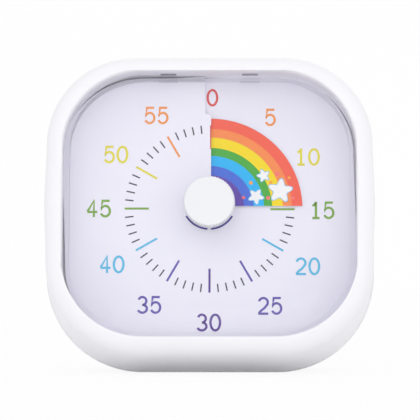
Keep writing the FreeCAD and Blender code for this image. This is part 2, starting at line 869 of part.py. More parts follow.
def build_switch(back):
    """Volume switch: a metal body on the board and a lever that slides in it."""
    half, tall = dim("switch_half"), dim("switch_tall")
    stem_half, stem_tall = dim("stem_half"), dim("stem_tall")
    travel = dim("switch_travel") / 2
    case_block = block(
        "switch_block",
        SWITCH_ACROSS - half,
        SWITCH_ACROSS + half,
        back,
        back + dim("switch_depth"),
        SWITCH_HEIGHT - tall,
        SWITCH_HEIGHT + tall,
    )
    channel = block(
        "switch_channel",
        SWITCH_ACROSS - travel - stem_half - SINK,
        SWITCH_ACROSS + travel + stem_half + SINK,
        back + PAST,
        back + dim("switch_depth") + PAST,
        SWITCH_HEIGHT - stem_tall - SINK,
        SWITCH_HEIGHT + stem_tall + SINK,
    )
    node("switch_body", cut("switch_hollowed", case_block, [channel]))
    stem = block(
        "lever_stem",
        SWITCH_ACROSS - stem_half,
        SWITCH_ACROSS + stem_half,
        back + PAST + SINK / 2,
        CASE_BACK - WALL + SINK,
        SWITCH_HEIGHT - stem_tall,
        SWITCH_HEIGHT + stem_tall,
    )
    thumb = block(
        "lever_thumb",
        SWITCH_ACROSS - THUMB_HALF,
        SWITCH_ACROSS + THUMB_HALF,
        CASE_BACK - WALL - 2 * SINK,
        CASE_BACK + dim("thumb_rise"),
        SWITCH_HEIGHT - THUMB_HALF,
        SWITCH_HEIGHT + THUMB_HALF,
    )
    node("switch_lever", fuse("lever_parts", [stem, thumb]))


def build_buzzer(back):
    wall = dim("buzzer_wall")
    radius = dim("buzzer_radius")
    mouth = CASE_BACK - WALL - SINK / 2
    drum = rod("buzzer_drum", BUZZER_ACROSS, BUZZER_HEIGHT, back, mouth, radius)
    room = rod("buzzer_room", BUZZER_ACROSS, BUZZER_HEIGHT, back + wall, CASE_BACK, radius - wall)
    node("buzzer", cut("buzzer_cup", drum, [room]))


# Lens: clear tray with a hole for the knob and snap tabs on its edge


def build_lens():
    half_width = dim("window_width") / 2 - GAP
    half_height = dim("window_height") / 2 - GAP
    corner = dim("window_corner") - GAP
    front = -1 * dim("lens_depth")
    outer = slab(
        "lens_block",
        rectangle(-1 * half_width, half_width, -1 * half_height, half_height),
        front,
        lens_foot(),
        corner,
    )
    round_edges(outer, "lens_edge", outer.Tip, lies_at(front.value), dim("lens_thick"))
    wall = dim("lens_wall")
    inner = slab(
        "lens_space",
        rectangle(wall - half_width, half_width - wall, wall - half_height, half_height - wall),
        front + dim("lens_thick"),
        LEDGE,
        corner - wall,
    )
    hole_back = front + dim("lens_thick") + PAST
    hole = rod("lens_knob_hole", 0, 0, front - PAST, hole_back, dim("lens_hole"))
    return node("lens", cut("lens_carved", outer, [inner, hole]))


def lens_foot():
    """Depth of the lens wall's end, just in front of the dial's highest rim."""
    return -1 * dim("dial_step") / 2 - dim("dial_thick") / 2 - GAP


# Dial and coloured disc: each one turn of a shallow helix, so that the disc
# lies in front of the dial up to the set time and behind it from there on.


def helix_shape(profile, step, share, start):
    """One ribbon of a helix: clockwise from an angle, rising towards the viewer."""
    name = f"ribbon_{len(document.Objects)}"
    body = document.addObject("PartDesign::Body", name)
    sketch = sketch_on(body, f"{name}_section", "XZ_Plane")
    polygon(sketch, profile)
    sweep = body.newObject("PartDesign::AdditiveHelix", f"{name}_sweep")
    sweep.Profile = sketch
    sweep.ReferenceAxis = (sketch, ["V_Axis"])
    sweep.Mode = 0
    sweep.LeftHanded = True
    bind(sweep, "Pitch", step)
    bind(sweep, "Height", step * share)
    document.recompute()
    # The sweep climbs Z; the local frame has that axis pointing out of the face.
    upright = FreeCAD.Rotation(VECTOR(1, 0, 0), RIGHT_ANGLE)
    turned = FreeCAD.Rotation(VECTOR(0, 1, 0), start)
    shape = body.Shape.copy()
    shape.Placement = FreeCAD.Placement(VECTOR(0, 0, 0), turned.multiply(upright))
    return shape


def build_dial_and_disc():
    step = dim("dial_step")
    half_dial = dim("dial_thick") / 2
    far = dim("case_width")
    back = -1 * LEDGE - step
    rim_start = dim("ledge_hole") - dim("dial_overlap")
    profile = [
        (dim("dial_hole"), -1 * half_dial),
        (rim_start, -1 * half_dial),
        (rim_start, back),
        (far, back),
        (far, half_dial),
        (dim("dial_hole"), half_dial),
    ]
    slit_share = 1 - dim("slit_angle") / 360
    first_edge = dim("slit_angle").value / 2 - RIGHT_ANGLE
    ribbon = helix_shape(profile, step, slit_share, first_edge)
    ribbon.translate(VECTOR(0, step.value / 2, 0))
    half_width = dim("window_width") / 2 - GAP
    half_height = dim("window_height") / 2 - GAP
    outline = slab(
        "dial_outline",
        rectangle(-1 * half_width, half_width, -1 * half_height, half_height),
        -2 * step,
        LEDGE - SNUG / 2,
        dim("window_corner") - GAP,
    )
    document.recompute()
    dial = document.addObject("Part::Feature", "dial_plate")
    dial.Shape = ribbon.common(outline.Shape)
    seat(dial, "dial_plate")

    half_disc = dim("disc_thick") / 2
    ring = [
        (dim("disc_bore"), -1 * half_disc),
        (dim("disc_radius"), -1 * half_disc),
        (dim("disc_radius"), half_disc),
        (dim("disc_bore"), half_disc),
    ]
    start = dim("disc_start").value
    ribbon = helix_shape(ring, step, slit_share, start + first_edge)
    rise = step.value * (1 - start / 360)
    ribbon.translate(VECTOR(0, rise, 0))
    disc = document.addObject("Part::Feature", "rainbow_disc")
    disc.Shape = Part.makeCompound([ribbon])
    seat(disc, "rainbow_disc")


# Knob, hub and setting shaft turn together


def build_knob():
    face, back = -1 * dim("knob_face"), -1 * dim("knob_back")
    radius, edge_radius = dim("knob_radius"), dim("knob_edge")
    shaft_fit = dim("shaft_radius") + SNUG
    body = document.addObject("PartDesign::Body", "knob_body")
    sketch = face_sketch(body, "knob_outline", face)
    circle(sketch, 0, 0, radius)
    block_pad = pad(body, "knob_pad", sketch, back - face)
    round_edges(body, "knob_edge", block_pad, lies_at(face.value), edge_radius)
    bore = face_sketch(body, "knob_bore_outline", back - dim("knob_socket"))
    circle(bore, 0, 0, shaft_fit)
    pocket(body, "knob_bore", bore, dim("knob_socket") + PAST)
    groove = face_sketch(body, "knob_groove_outline", face - PAST)
    circle(groove, radius + dim("groove_out"), 0, dim("groove_radius"))
    first = pocket(body, "knob_groove", groove, back - face + 2 * PAST)
    ring = body.newObject("PartDesign::PolarPattern", "knob_grooves")
    ring.Originals = [first]
    ring.Axis = (groove, ["N_Axis"])
    bind(ring, "Occurrences", dim("knob_grooves"))
    ring.Angle = 360
    body.Tip = ring
    document.recompute()
    dome = document.addObject("Part::Sphere", "knob_dome_ball")
    flat = radius - edge_radius
    ball = flat * flat / (2 * dim("knob_dome")) + dim("knob_dome") / 2
    bind(dome, "Radius", ball)
    bind(dome, "Placement.Base.y", ball + face - dim("knob_dome"))
    keep = rod("knob_dome_core", 0, 0, face - 2 * PAST, face + edge_radius / 2, flat)
    cap = document.addObject("Part::Common", "knob_cap")
    cap.Base = dome
    cap.Tool = keep
    node("knob", fuse("knob_whole", [body, cap]))

    shaft_front = back - dim("knob_socket") + SINK / 2
    shaft_back = dim("cover_back") - 2 * SINK
    node("setting_shaft", rod("shaft_rod", 0, 0, shaft_front, shaft_back, dim("shaft_radius")))
    hub = rod("hub_rod", 0, 0, back, HUB_BACK, dim("hub_radius"))
    bore = rod("hub_bore", 0, 0, back - PAST, HUB_BACK + PAST, shaft_fit)
    node("disc_hub", cut("hub_bored", hub, [bore]))
    washer_front = WHEEL_DEPTH + dim("gear_thick") + SINK / 4
    washer_back = washer_front + dim("clutch_thick")
    washer = rod("clutch_ring", 0, 0, washer_front, washer_back, dim("clutch_radius"))
    hole = rod("clutch_bore", 0, 0, washer_front - PAST, washer_back + PAST, shaft_fit)
    node("clutch_washer", cut("clutch_cut", washer, [hole]))


# Movement: plate on the ledge, cover, gear train, motor
PLATE_BACK = LEDGE_BACK + dim("plate_thick")
WHEEL_DEPTH = PLATE_BACK + dim("gear_start")
MODULE = dim("gear_module")
COVER_FACE = dim("cover_back") - dim("cover_wall")
# Share of a tooth's pitch at which its flanks start and end
ROOT_SHARE = 0.27
TIP_SHARE = 0.12
# Tooth height above and below the pitch circle, in modules
ADDENDUM = 0.6
DEDENDUM = 1.0


def gear_outline(teeth, radius_out, radius_in):
    """The toothed outline: straight flanks with plenty of backlash."""
    corners = (
        (-ROOT_SHARE, radius_in),
        (-TIP_SHARE, radius_out),
        (TIP_SHARE, radius_out),
        (ROOT_SHARE, radius_in),
    )
    points = []
    pitch = 2 * math.pi / teeth
    for number in range(round(teeth)):
        for share, radius in corners:
            angle = pitch * (number + share)
            points.append(VECTOR(radius * math.cos(angle), 0, radius * math.sin(angle)))
    points.append(points[0])
    return Part.Face(Part.Wire(Part.makePolygon(points)))


def toothed(teeth, module, front, thick):
    """A gear wheel's solid on the local axis."""
    pitch_radius = teeth * module / 2
    face = gear_outline(teeth, pitch_radius + ADDENDUM * module, pitch_radius - DEDENDUM * module)
    solid = face.extrude(VECTOR(0, thick, 0))
    solid.translate(VECTOR(0, front, 0))
    return solid


def plain_rod(front, back, radius):
    return Part.makeCylinder(radius, back - front, VECTOR(0, front, 0), VECTOR(0, 1, 0))


TRAIN = [
    # name, wheel teeth, pinion teeth, layer of the wheel, direction from the wheel before
    ("centre_wheel", 120, 0, 0, 0.0),
    ("reduction_wheel", 96, 8, 1, 60.0),
    ("drive_wheel", 80, 8, 2, 170.0),
    ("rotor", 0, 8, 3, 180.0),
]


def build_train():
    """Each wheel meshes with the pinion of the next one up."""
    module = MODULE.value
    thick = dim("gear_thick").value
    layer = thick + dim("gear_gap").value
    arbor_front = (PLATE_BACK - dim("arbor_seat")).value - SINK / 2
    arbor_back = (COVER_FACE + dim("arbor_seat")).value
    magnet_thick, magnet_radius = dim("magnet_thick").value, dim("magnet_radius").value
    across, height, turn = 0.0, 0.0, 0.0
    places = {}
    previous_teeth = 0
    for name, wheel, pinion, level, direction in TRAIN:
        if previous_teeth:
            reach = (previous_teeth + pinion) * module / 2
            across += reach * math.cos(math.radians(direction))
            height += reach * math.sin(math.radians(direction))
        front = WHEEL_DEPTH.value + level * layer
        pieces = []
        if wheel:
            pieces.append(toothed(wheel, module, front, thick))
        if pinion:
            below = front - layer
            pieces.append(toothed(pinion, module, below, layer + (0.0 if wheel else thick)))
            pieces.append(plain_rod(arbor_front, arbor_back, dim("arbor_radius").value))
        if not wheel:
            pieces.append(plain_rod(front + thick, front + thick + magnet_thick, magnet_radius))
        shape = pieces[0]
        for piece in pieces[1:]:
            shape = shape.fuse(piece)
        if not pinion:
            bore = dim("shaft_radius").value + RUNNING
            shape = shape.cut(plain_rod(front - PAST, front + thick + PAST, bore))
        # The pinion is turned until a tooth of it enters a gap of the wheel.
        if previous_teeth:
            behind = (turn - direction) * previous_teeth / pinion
            turn = direction + 180.0 - behind - 180.0 / pinion
            shape.rotate(VECTOR(0, 0, 0), VECTOR(0, -1, 0), turn)
        shape.translate(VECTOR(across, 0, height))
        wheel_node = document.addObject("Part::Feature", name)
        wheel_node.Shape = shape.removeSplitter()
        seat(wheel_node, name)
        places[name] = (across, height)
        previous_teeth = wheel
    return places


def movement_spots():
    """Where the movement plate is screwed to the ledge."""
    across = dim("movement_width") / 2 - dim("plate_screw_head") - DOOR_GAP
    return [(-1 * across, 0), (across, 0)]


def build_movement(places):
    half = dim("movement_width") / 2
    tall = dim("movement_height") / 2
    plate = slab(
        "plate_blank",
        rectangle(-1 * half, half, -1 * tall, tall),
        LEDGE_BACK,
        PLATE_BACK,
        dim("plate_corner"),
    )
    shaft_bore = dim("shaft_radius") + RUNNING
    pivot = dim("arbor_radius") + RUNNING
    holes = [rod("plate_bore", 0, 0, LEDGE_BACK - PAST, PLATE_BACK + PAST, shaft_bore)]
    screws = []
    for number, (x, z) in enumerate(movement_spots()):
        hole_radius = dim("plate_screw") + SINK
        holes.append(
            rod(f"plate_hole_{number}", x, z, LEDGE_BACK - PAST, PLATE_BACK + PAST, hole_radius)
        )
        head_back = PLATE_BACK + dim("small_head")
        screws.append(
            rod(f"movement_head_{number}", x, z, PLATE_BACK, head_back, dim("plate_screw_head"))
        )
        shank_front = LEDGE_BACK - dim("plate_screw_grip")
        screws.append(
            rod(f"movement_shank_{number}", x, z, shank_front, PLATE_BACK + SINK, dim("plate_screw"))
        )
    seats = []
    for name, (x, z) in places.items():
        if name == "centre_wheel":
            continue
        pivot_front = PLATE_BACK - dim("arbor_seat") - SINK
        holes.append(rod(f"{name}_pivot", x, z, pivot_front, PLATE_BACK + PAST, pivot))
        seat_back = COVER_FACE + dim("arbor_seat") + SINK / 2
        seats.append(rod(f"{name}_seat", x, z, COVER_FACE - PAST, seat_back, pivot))
    node("movement_plate", cut("plate_drilled", plate, holes))
    node("movement_screws", fuse("movement_screw_pair", screws))

    side = dim("cover_width") / 2
    wall = dim("cover_wall")
    bottom = -1 * dim("cover_bottom")
    outer = block(
        "movement_box", -1 * side, side, PLATE_BACK, dim("cover_back"), bottom, dim("cover_top")
    )
    inner = block(
        "movement_room",
        wall - side,
        side - wall,
        PLATE_BACK - PAST,
        COVER_FACE,
        bottom + wall,
        dim("cover_top") - wall,
    )
    shaft_hole = rod("cover_bore", 0, 0, COVER_FACE - PAST, dim("cover_back") + PAST, shaft_bore)
    node("movement_cover", cut("movement_hollow", outer, [inner, shaft_hole] + seats))


# Battery cell and its contacts
LENGTHS_PER_TURN = 12


def contact_leaf(name, left, right):
    """A flat spring contact that stands in an end of the bay."""
    return block(
        name,
        left,
        right,
        BAY_FLOOR + PAST,
        DOOR_FACE - PAST,
        CELL_HEIGHT - dim("leaf_half"),
        CELL_HEIGHT + dim("leaf_half"),
    )


def coned_spring(wire, near, far, wide, narrow):
    """A coned wire spring along X, made of short straight lengths of wire."""
    turns = dim("spring_turns").value
    count = round(turns * LENGTHS_PER_TURN)
    sections = []
    for number in range(count + 1):
        share = number / count
        angle = 2 * math.pi * turns * share
        radius = wide + (narrow - wide) * share
        outward = VECTOR(0, math.cos(angle), math.sin(angle))
        around = VECTOR(0, -math.sin(angle), math.cos(angle))
        along = around * (2 * math.pi * turns * radius) + outward * (narrow - wide)
        along = (along + VECTOR(far - near, 0, 0)).normalize()
        section = Part.Wire(Part.makeCircle(wire))
        turned = FreeCAD.Rotation(outward, along.cross(outward), along, "ZXY")
        place = outward * radius + VECTOR(near + (far - near) * share, 0, 0)
        section.Placement = FreeCAD.Placement(place, turned)
        sections.append(section)
    return Part.makeLoft(sections, True, True)


def build_battery():
    half = dim("cell_length") / 2
    depth = BAY_FLOOR + dim("cell_radius") + GAP
    nub_end = half + dim("nub_length")
    can = bar("cell_can", -1 * half, half, depth, CELL_HEIGHT, dim("cell_radius"))
    nub = bar("cell_nub", half - SINK, nub_end, depth, CELL_HEIGHT, dim("nub_radius"))
    node("battery_cell", fuse("cell_whole", [can, nub]))
    plus = contact_leaf("plus_leaf", BAY_HALF - dim("leaf_thick"), BAY_HALF)
    dimple_end = BAY_HALF - dim("leaf_thick") + SINK
    dimple = bar(
        "plus_dimple", nub_end + SNUG, dimple_end, depth, CELL_HEIGHT, dim("dimple_radius")
    )
    node("plus_contact", fuse("plus_whole", [plus, dimple]))
    leaf_end = dim("leaf_thick") - BAY_HALF
    node("minus_contact", contact_leaf("minus_leaf", -1 * BAY_HALF, leaf_end))

    wire = dim("spring_wire").value
    near = leaf_end.value + wire + SNUG
    far = -half.value - wire - SNUG
    coil = coned_spring(wire, near, far, dim("spring_wide").value, dim("spring_narrow").value)
    coil.translate(VECTOR(0, depth.value, CELL_HEIGHT.value))
    spring = document.addObject("Part::Feature", "minus_spring")
    spring.Shape = Part.makeCompound([coil])
    seat(spring, "minus_spring")


# Motor of the movement and the case screws


def build_motor(places):
    x, z = (as_size(place) for place in places["rotor"])
    front = COVER_FACE - dim("stator_depth")
    back = front + dim("stator_thick")
    middle = front + dim("stator_thick") / 2
    leg, half = dim("leg_inset") - dim("cover_width") / 2, dim("leg_half")
    low, high = dim("coil_bottom"), dim("coil_top")
    flange = dim("coil_flange")
    tall = dim("stator_half")
    plates = [
        block("stator_bar", leg - half, x + dim("stator_past"), front, back, z - tall, z + tall),
        block("stator_leg", leg - half, leg + half, front, back, dim("leg_bottom"), z),
    ]
    bore = rod("stator_bore", x, z, front - PAST, back + PAST, dim("stator_bore"))
    node("stator", cut("stator_cut", fuse("stator_plates", plates), [bore]))

    def drum(name, bottom, top, radius):
        cylinder = document.addObject("Part::Cylinder", name)
        bind(cylinder, "Radius", radius)
        bind(cylinder, "Height", top - bottom)
        bind(cylinder, "Placement.Base.x", leg)
        bind(cylinder, "Placement.Base.y", middle)
        bind(cylinder, "Placement.Base.z", bottom)
        return cylinder

    slot = block(
        "coil_slot",
        leg - half - SNUG,
        leg + half + SNUG,
        front - SNUG,
        back + SNUG,
        low - PAST,
        high + PAST,
    )
    spool = [
        drum("spool_core", low, high, dim("core_radius")),
        drum("spool_foot", low, low + flange, dim("spool_radius")),
        drum("spool_head", high - flange, high, dim("spool_radius")),
    ]
    node("coil_bobbin", cut("bobbin_cut", fuse("spool_whole", spool), [slot]))
    outer = drum("winding_drum", low + flange, high - flange, dim("winding_radius"))
    inner = drum("winding_core", low, high, dim("core_radius") + SNUG)
    node("coil_winding", cut("winding_cut", outer, [inner]))


def build_case_screws():
    front = dim("screw_seat")
    radius = dim("screw_radius") - SNUG
    head_back = front + dim("screw_head_height")
    screws = []
    for number, (x, z) in enumerate(POSTS):
        screws.append(rod(f"screw_head_{number}", x, z, front, head_back, dim("screw_head")))
        screws.append(
            rod(f"screw_shank_{number}", x, z, front - dim("screw_length"), front + SINK, radius)
        )
    node("case_screws", fuse("screw_set", screws))


def main():
    build_case_shell()
    build_rear_cover()
    build_battery_door()
    build_board()
    build_lens()
    build_dial_and_disc()
    build_knob()
    places = build_train()
    build_movement(places)
    build_battery()
    build_motor(places)
    build_case_screws()
    document.recompute()
    for thing in document.Objects:
        if any(word in state for state in thing.State for word in ("Invalid", "Error")):
            raise ValueError(f"{thing.Name} failed: {thing.State}")
    os.makedirs("parts", exist_ok=True)
    for thing in NODES:
        shape = thing.Shape
        if shape.isNull() or not shape.isValid():
            raise ValueError(f"{thing.Label} has no valid shape")
        shape.exportStep(f"parts/{thing.Label}.step")
        print(thing.Label, round(shape.Volume, 1), len(shape.Solids))


main()
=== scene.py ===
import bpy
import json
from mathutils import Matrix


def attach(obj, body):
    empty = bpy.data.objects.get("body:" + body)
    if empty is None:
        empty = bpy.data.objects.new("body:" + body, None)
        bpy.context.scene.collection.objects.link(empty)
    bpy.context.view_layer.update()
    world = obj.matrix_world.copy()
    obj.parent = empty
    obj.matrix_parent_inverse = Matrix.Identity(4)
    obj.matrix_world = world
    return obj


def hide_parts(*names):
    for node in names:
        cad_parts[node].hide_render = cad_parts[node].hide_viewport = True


bl_info = {
    "name": "Visual countdown timer",
    "version": (1, 0, 0),
    "blender": (4, 5, 0),
    "location": "View3D > Sidebar > Timer",
    "description": "Dresses the packed timer: case, lens, dial, coloured disc, knob and back",
    "category": "Object",
}

import bmesh
import bpy
import json
import math
from mathutils import Matrix, Vector

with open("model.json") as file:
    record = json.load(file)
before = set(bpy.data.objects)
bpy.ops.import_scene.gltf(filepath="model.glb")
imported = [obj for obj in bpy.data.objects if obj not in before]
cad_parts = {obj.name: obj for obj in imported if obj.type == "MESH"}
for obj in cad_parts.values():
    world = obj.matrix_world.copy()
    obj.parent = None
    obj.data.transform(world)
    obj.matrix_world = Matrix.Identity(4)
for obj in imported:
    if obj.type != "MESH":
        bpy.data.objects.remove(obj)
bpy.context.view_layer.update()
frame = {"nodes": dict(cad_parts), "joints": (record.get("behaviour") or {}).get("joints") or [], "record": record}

# Local frame of the face: X to the right, Y into the case, Z up the face, in
# millimetres, with its origin at the dial's centre.
MILLIMETRE = 0.001
SETTING = next(joint for joint in frame["joints"] if joint["name"] == "time_set")
CENTRE = Vector(SETTING["pos_m"])
INWARD = Vector(SETTING["axis"]).normalized()
ACROSS = Vector((1.0, 0.0, 0.0))
UPWARD = ACROSS.cross(INWARD).normalized()
FACE = Matrix.Translation(CENTRE) @ Matrix((ACROSS, INWARD, UPWARD)).transposed().to_4x4()
FACE = FACE @ Matrix.Scale(MILLIMETRE, 4)
TO_FACE = FACE.inverted()


def local_box(node):
    """A CAD node's box in the face's frame, in millimetres."""
    corners = [TO_FACE @ vertex.co for vertex in frame["nodes"][node].data.vertices]
    return [
        Vector([end(corner[axis] for corner in corners) for axis in range(3)]) for end in (min, max)
    ]


CASE_LOW, CASE_HIGH = local_box("case_shell")
LENS_LOW, LENS_HIGH = local_box("lens")
_, DIAL_HIGH = local_box("dial_plate")
_, DISC_HIGH = local_box("rainbow_disc")
KNOB_LOW, KNOB_HIGH = local_box("knob")
THREAD = next(c for c in frame["record"]["behaviour"]["couplings"] if c["joint"] == "time_set")
STEP = 2 * math.pi / THREAD["ratio"] / MILLIMETRE


def srgb(red, green, blue):
    """A screen colour from 0 to 255 as linear light."""

    def channel(value):
        value = value / 255
        return value / 12.92 if value <= 0.04045 else ((value + 0.055) / 1.055) ** 2.4

    return (channel(red), channel(green), channel(blue))


# Sizes and colours that a user would change


def length(name, description, default):
    """A size in millimetres."""
    description += " in millimetres"
    return bpy.props.FloatProperty(
        name=name, description=description, default=default, min=0.0, precision=3
    )


def colour(name, description, default):
    """A colour in linear light."""
    return bpy.props.FloatVectorProperty(
        name=name, description=description, default=default, subtype="COLOR", min=0.0, max=1.0
    )


class CaseLooks(bpy.types.PropertyGroup):
    """Outline of the case and its plastic."""

    corner: length("Corner", "Upper corner radius of the case", 24.5)
    low_corner: length("Lower corner", "Lower corner radius of the case", 26.5)
    bulge: length("Bulge", "How far the long sides bow outwards", 0.5)
    rim_round: length("Rim rounding", "Rounding of the front rim", 4.4)
    plastic: colour("Plastic", "Colour of the case", srgb(247, 246, 250))


class DialLooks(bpy.types.PropertyGroup):
    """The dial's sheet and its printing."""

    sheet: colour("Sheet", "Colour of the dial", srgb(246, 244, 255))
    minute_ink: colour("Minute ink", "Colour of the minute marks", srgb(48, 40, 62))
    digit_height: length("Digit height", "Height of the numerals", 4.72)
    digit_width: length("Digit width", "Width of one numeral", 3.08)
    digit_stroke: length("Digit stroke", "Width of the numerals' strokes", 0.64)
    digit_gap: length("Digit gap", "Gap between two numerals", 0.5)
    mark_outer: length("Mark end", "Outer radius of the minute marks", 23.1)
    mark_inner: length("Minute mark start", "Inner radius of the minute marks", 20.8)
    long_inner: length("Long mark start", "Inner radius of the long marks", 16.5)


class StageLooks(bpy.types.PropertyGroup):
    """The camera's distance, side angle and scale."""

    distance: bpy.props.FloatProperty(
        name="Distance", description="Camera to dial", default=0.9, min=0.2, unit="LENGTH"
    )
    side_angle: bpy.props.FloatProperty(
        name="Side angle",
        description="Turn of the camera to the right",
        default=math.radians(0.8),
        subtype="ANGLE",
    )
    pixels_per_millimetre: bpy.props.FloatProperty(
        name="Scale", description="Pixels to a millimetre at the dial", default=3.678
    )


# Meshes

# Points on a corner and along a side of an outline
ARC_STEPS = 20
SIDE_STEPS = 16


def new_piece(name, mesh, body, material, smooth=True):
    """An object in the row frame that rides on a body."""
    piece = bpy.data.objects.new(name, mesh)
    bpy.context.scene.collection.objects.link(piece)
    for polygon in mesh.polygons:
        polygon.use_smooth = smooth
    mesh.materials.append(material)
    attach(piece, body)
    return piece


def mesh_of(name, points, faces):
    """A mesh from local points, put in the row frame."""
    mesh = bpy.data.meshes.new(name)
    mesh.from_pydata([FACE @ Vector(point) for point in points], [], faces)
    work = bmesh.new()
    work.from_mesh(mesh)
    bmesh.ops.remove_doubles(work, verts=work.verts, dist=1e-7)
    bmesh.ops.recalc_face_normals(work, faces=work.faces)
    work.to_mesh(mesh)
    work.free()
    mesh.validate()
    return mesh


def grid(rows, wrap_rows=False, wrap_columns=False):
    """Points and quads of a grid of equally long rows."""
    count = len(rows[0])
    points = [point for row in rows for point in row]
    faces = []
    for row in range(len(rows) if wrap_rows else len(rows) - 1):
        below = (row + 1) % len(rows)
        for column in range(count if wrap_columns else count - 1):
            beside = (column + 1) % count
            first, second = row * count, below * count
            faces.append((first + column, first + beside, second + beside, second + column))
    return points, faces


def level(outline, depth):
    """A row of points at one depth."""
    return [(x, depth, z) for x, z in outline]


def end_caps(rows):
    """Quads that close the first and last row of a folded strip."""
    count = len(rows[0])
    return [
        (begin + column, begin + column + 1, begin + count - 2 - column, begin + count - 1 - column)
        for begin in (0, (len(rows) - 1) * count)
        for column in range(count // 2 - 1)
    ]


def sharpen(piece, angle):
    """Keeps edges over this angle crisp."""
    mesh = piece.data
    work = bmesh.new()
    work.from_mesh(mesh)
    for edge in work.edges:
        edge.smooth = len(edge.link_faces) == 2 and edge.calc_face_angle() < math.radians(angle)
    work.to_mesh(mesh)
    work.free()


def around(across, height, wide, tall, angle):
    """A flat point on an ellipse, by its angle in radians, anticlockwise from the right."""
    return (across + wide * math.cos(angle), height + tall * math.sin(angle))


def arc_points(across, height, wide, tall, start, end, steps=24):
    """Points on an ellipse from a start to an end in degrees."""
    return [
        around(across, height, wide, tall, math.radians(start + (end - start) * step / steps))
        for step in range(steps + 1)
    ]


def rounded_outline(half_width, top, bottom, corner, bulge=0.0, low_corner=None):
    """Points round a rectangle with round corners and bowed left and right sides."""
    points = []
    low = corner if low_corner is None else low_corner
    centres = [
        (half_width - corner, top - corner, corner, 0),
        (corner - half_width, top - corner, corner, 90),
        (low - half_width, low - bottom, low, 180),
        (half_width - low, low - bottom, low, 270),
    ]
    arcs = [
        arc_points(across, height, radius, radius, start, start + 90, ARC_STEPS)
        for across, height, radius, start in centres
    ]
    outward = [0, -1, 0, 1]
    for number, arc in enumerate(arcs):
        points.extend(arc)
        begin, end = arc[-1], arcs[(number + 1) % len(arcs)][0]
        for step in range(1, SIDE_STEPS):
            share = step / SIDE_STEPS
            bow = bulge * (1 - math.cos(2 * math.pi * share)) / 2
            x = begin[0] + (end[0] - begin[0]) * share + outward[number] * bow
            points.append((x, begin[1] + (end[1] - begin[1]) * share))
    return points


def loose_faces(shapes):
    """Points and faces of shapes that share no points."""
    points, faces = [], []
    for shape in shapes:
        faces.append(tuple(range(len(points), len(points) + len(shape))))
        points.extend(shape)
    return points, faces


def quarter(steps):
    """Sine and 1 less cosine over a quarter turn, with both its ends."""
    angles = [math.radians(90 * step / steps) for step in range(steps + 1)]
    return [(math.sin(angle), 1 - math.cos(angle)) for angle in angles]


def lathe(profile, steps, radius_at):
    """Rows of a turned shape about the dial's axis, from (radius, depth) pairs."""
    rows = []
    for radius, depth in profile:
        row = []
        for step in range(steps):
            reach = radius_at(radius, depth, step)
            x, z = around(0.0, 0.0, reach, reach, 2 * math.pi * step / steps)
            row.append((x, depth, z))
        rows.append(row)
    return rows


# Materials


class Value:
    """One output socket, with arithmetic that adds Math nodes."""

    def __init__(self, surface, socket):
        self.surface = surface
        self.socket = socket

    def combine(self, operation, *values):
        node = self.surface.node("ShaderNodeMath", {"operation": operation}, values)
        return Value(self.surface, node.outputs[0])

    def __radd__(self, other):
        return self.combine("ADD", other, self)

    def __sub__(self, other):
        return self.combine("SUBTRACT", self, other)

    def __mul__(self, other):
        return self.combine("MULTIPLY", self, other)

    def __pow__(self, other):
        return self.combine("POWER", self, other)

    def largest(self, other):
        return self.combine("MAXIMUM", self, other)


# Sockets of a colour's Mix node
MIX_SHARE, MIX_FIRST, MIX_SECOND, MIX_RESULT = 0, 6, 7, 2


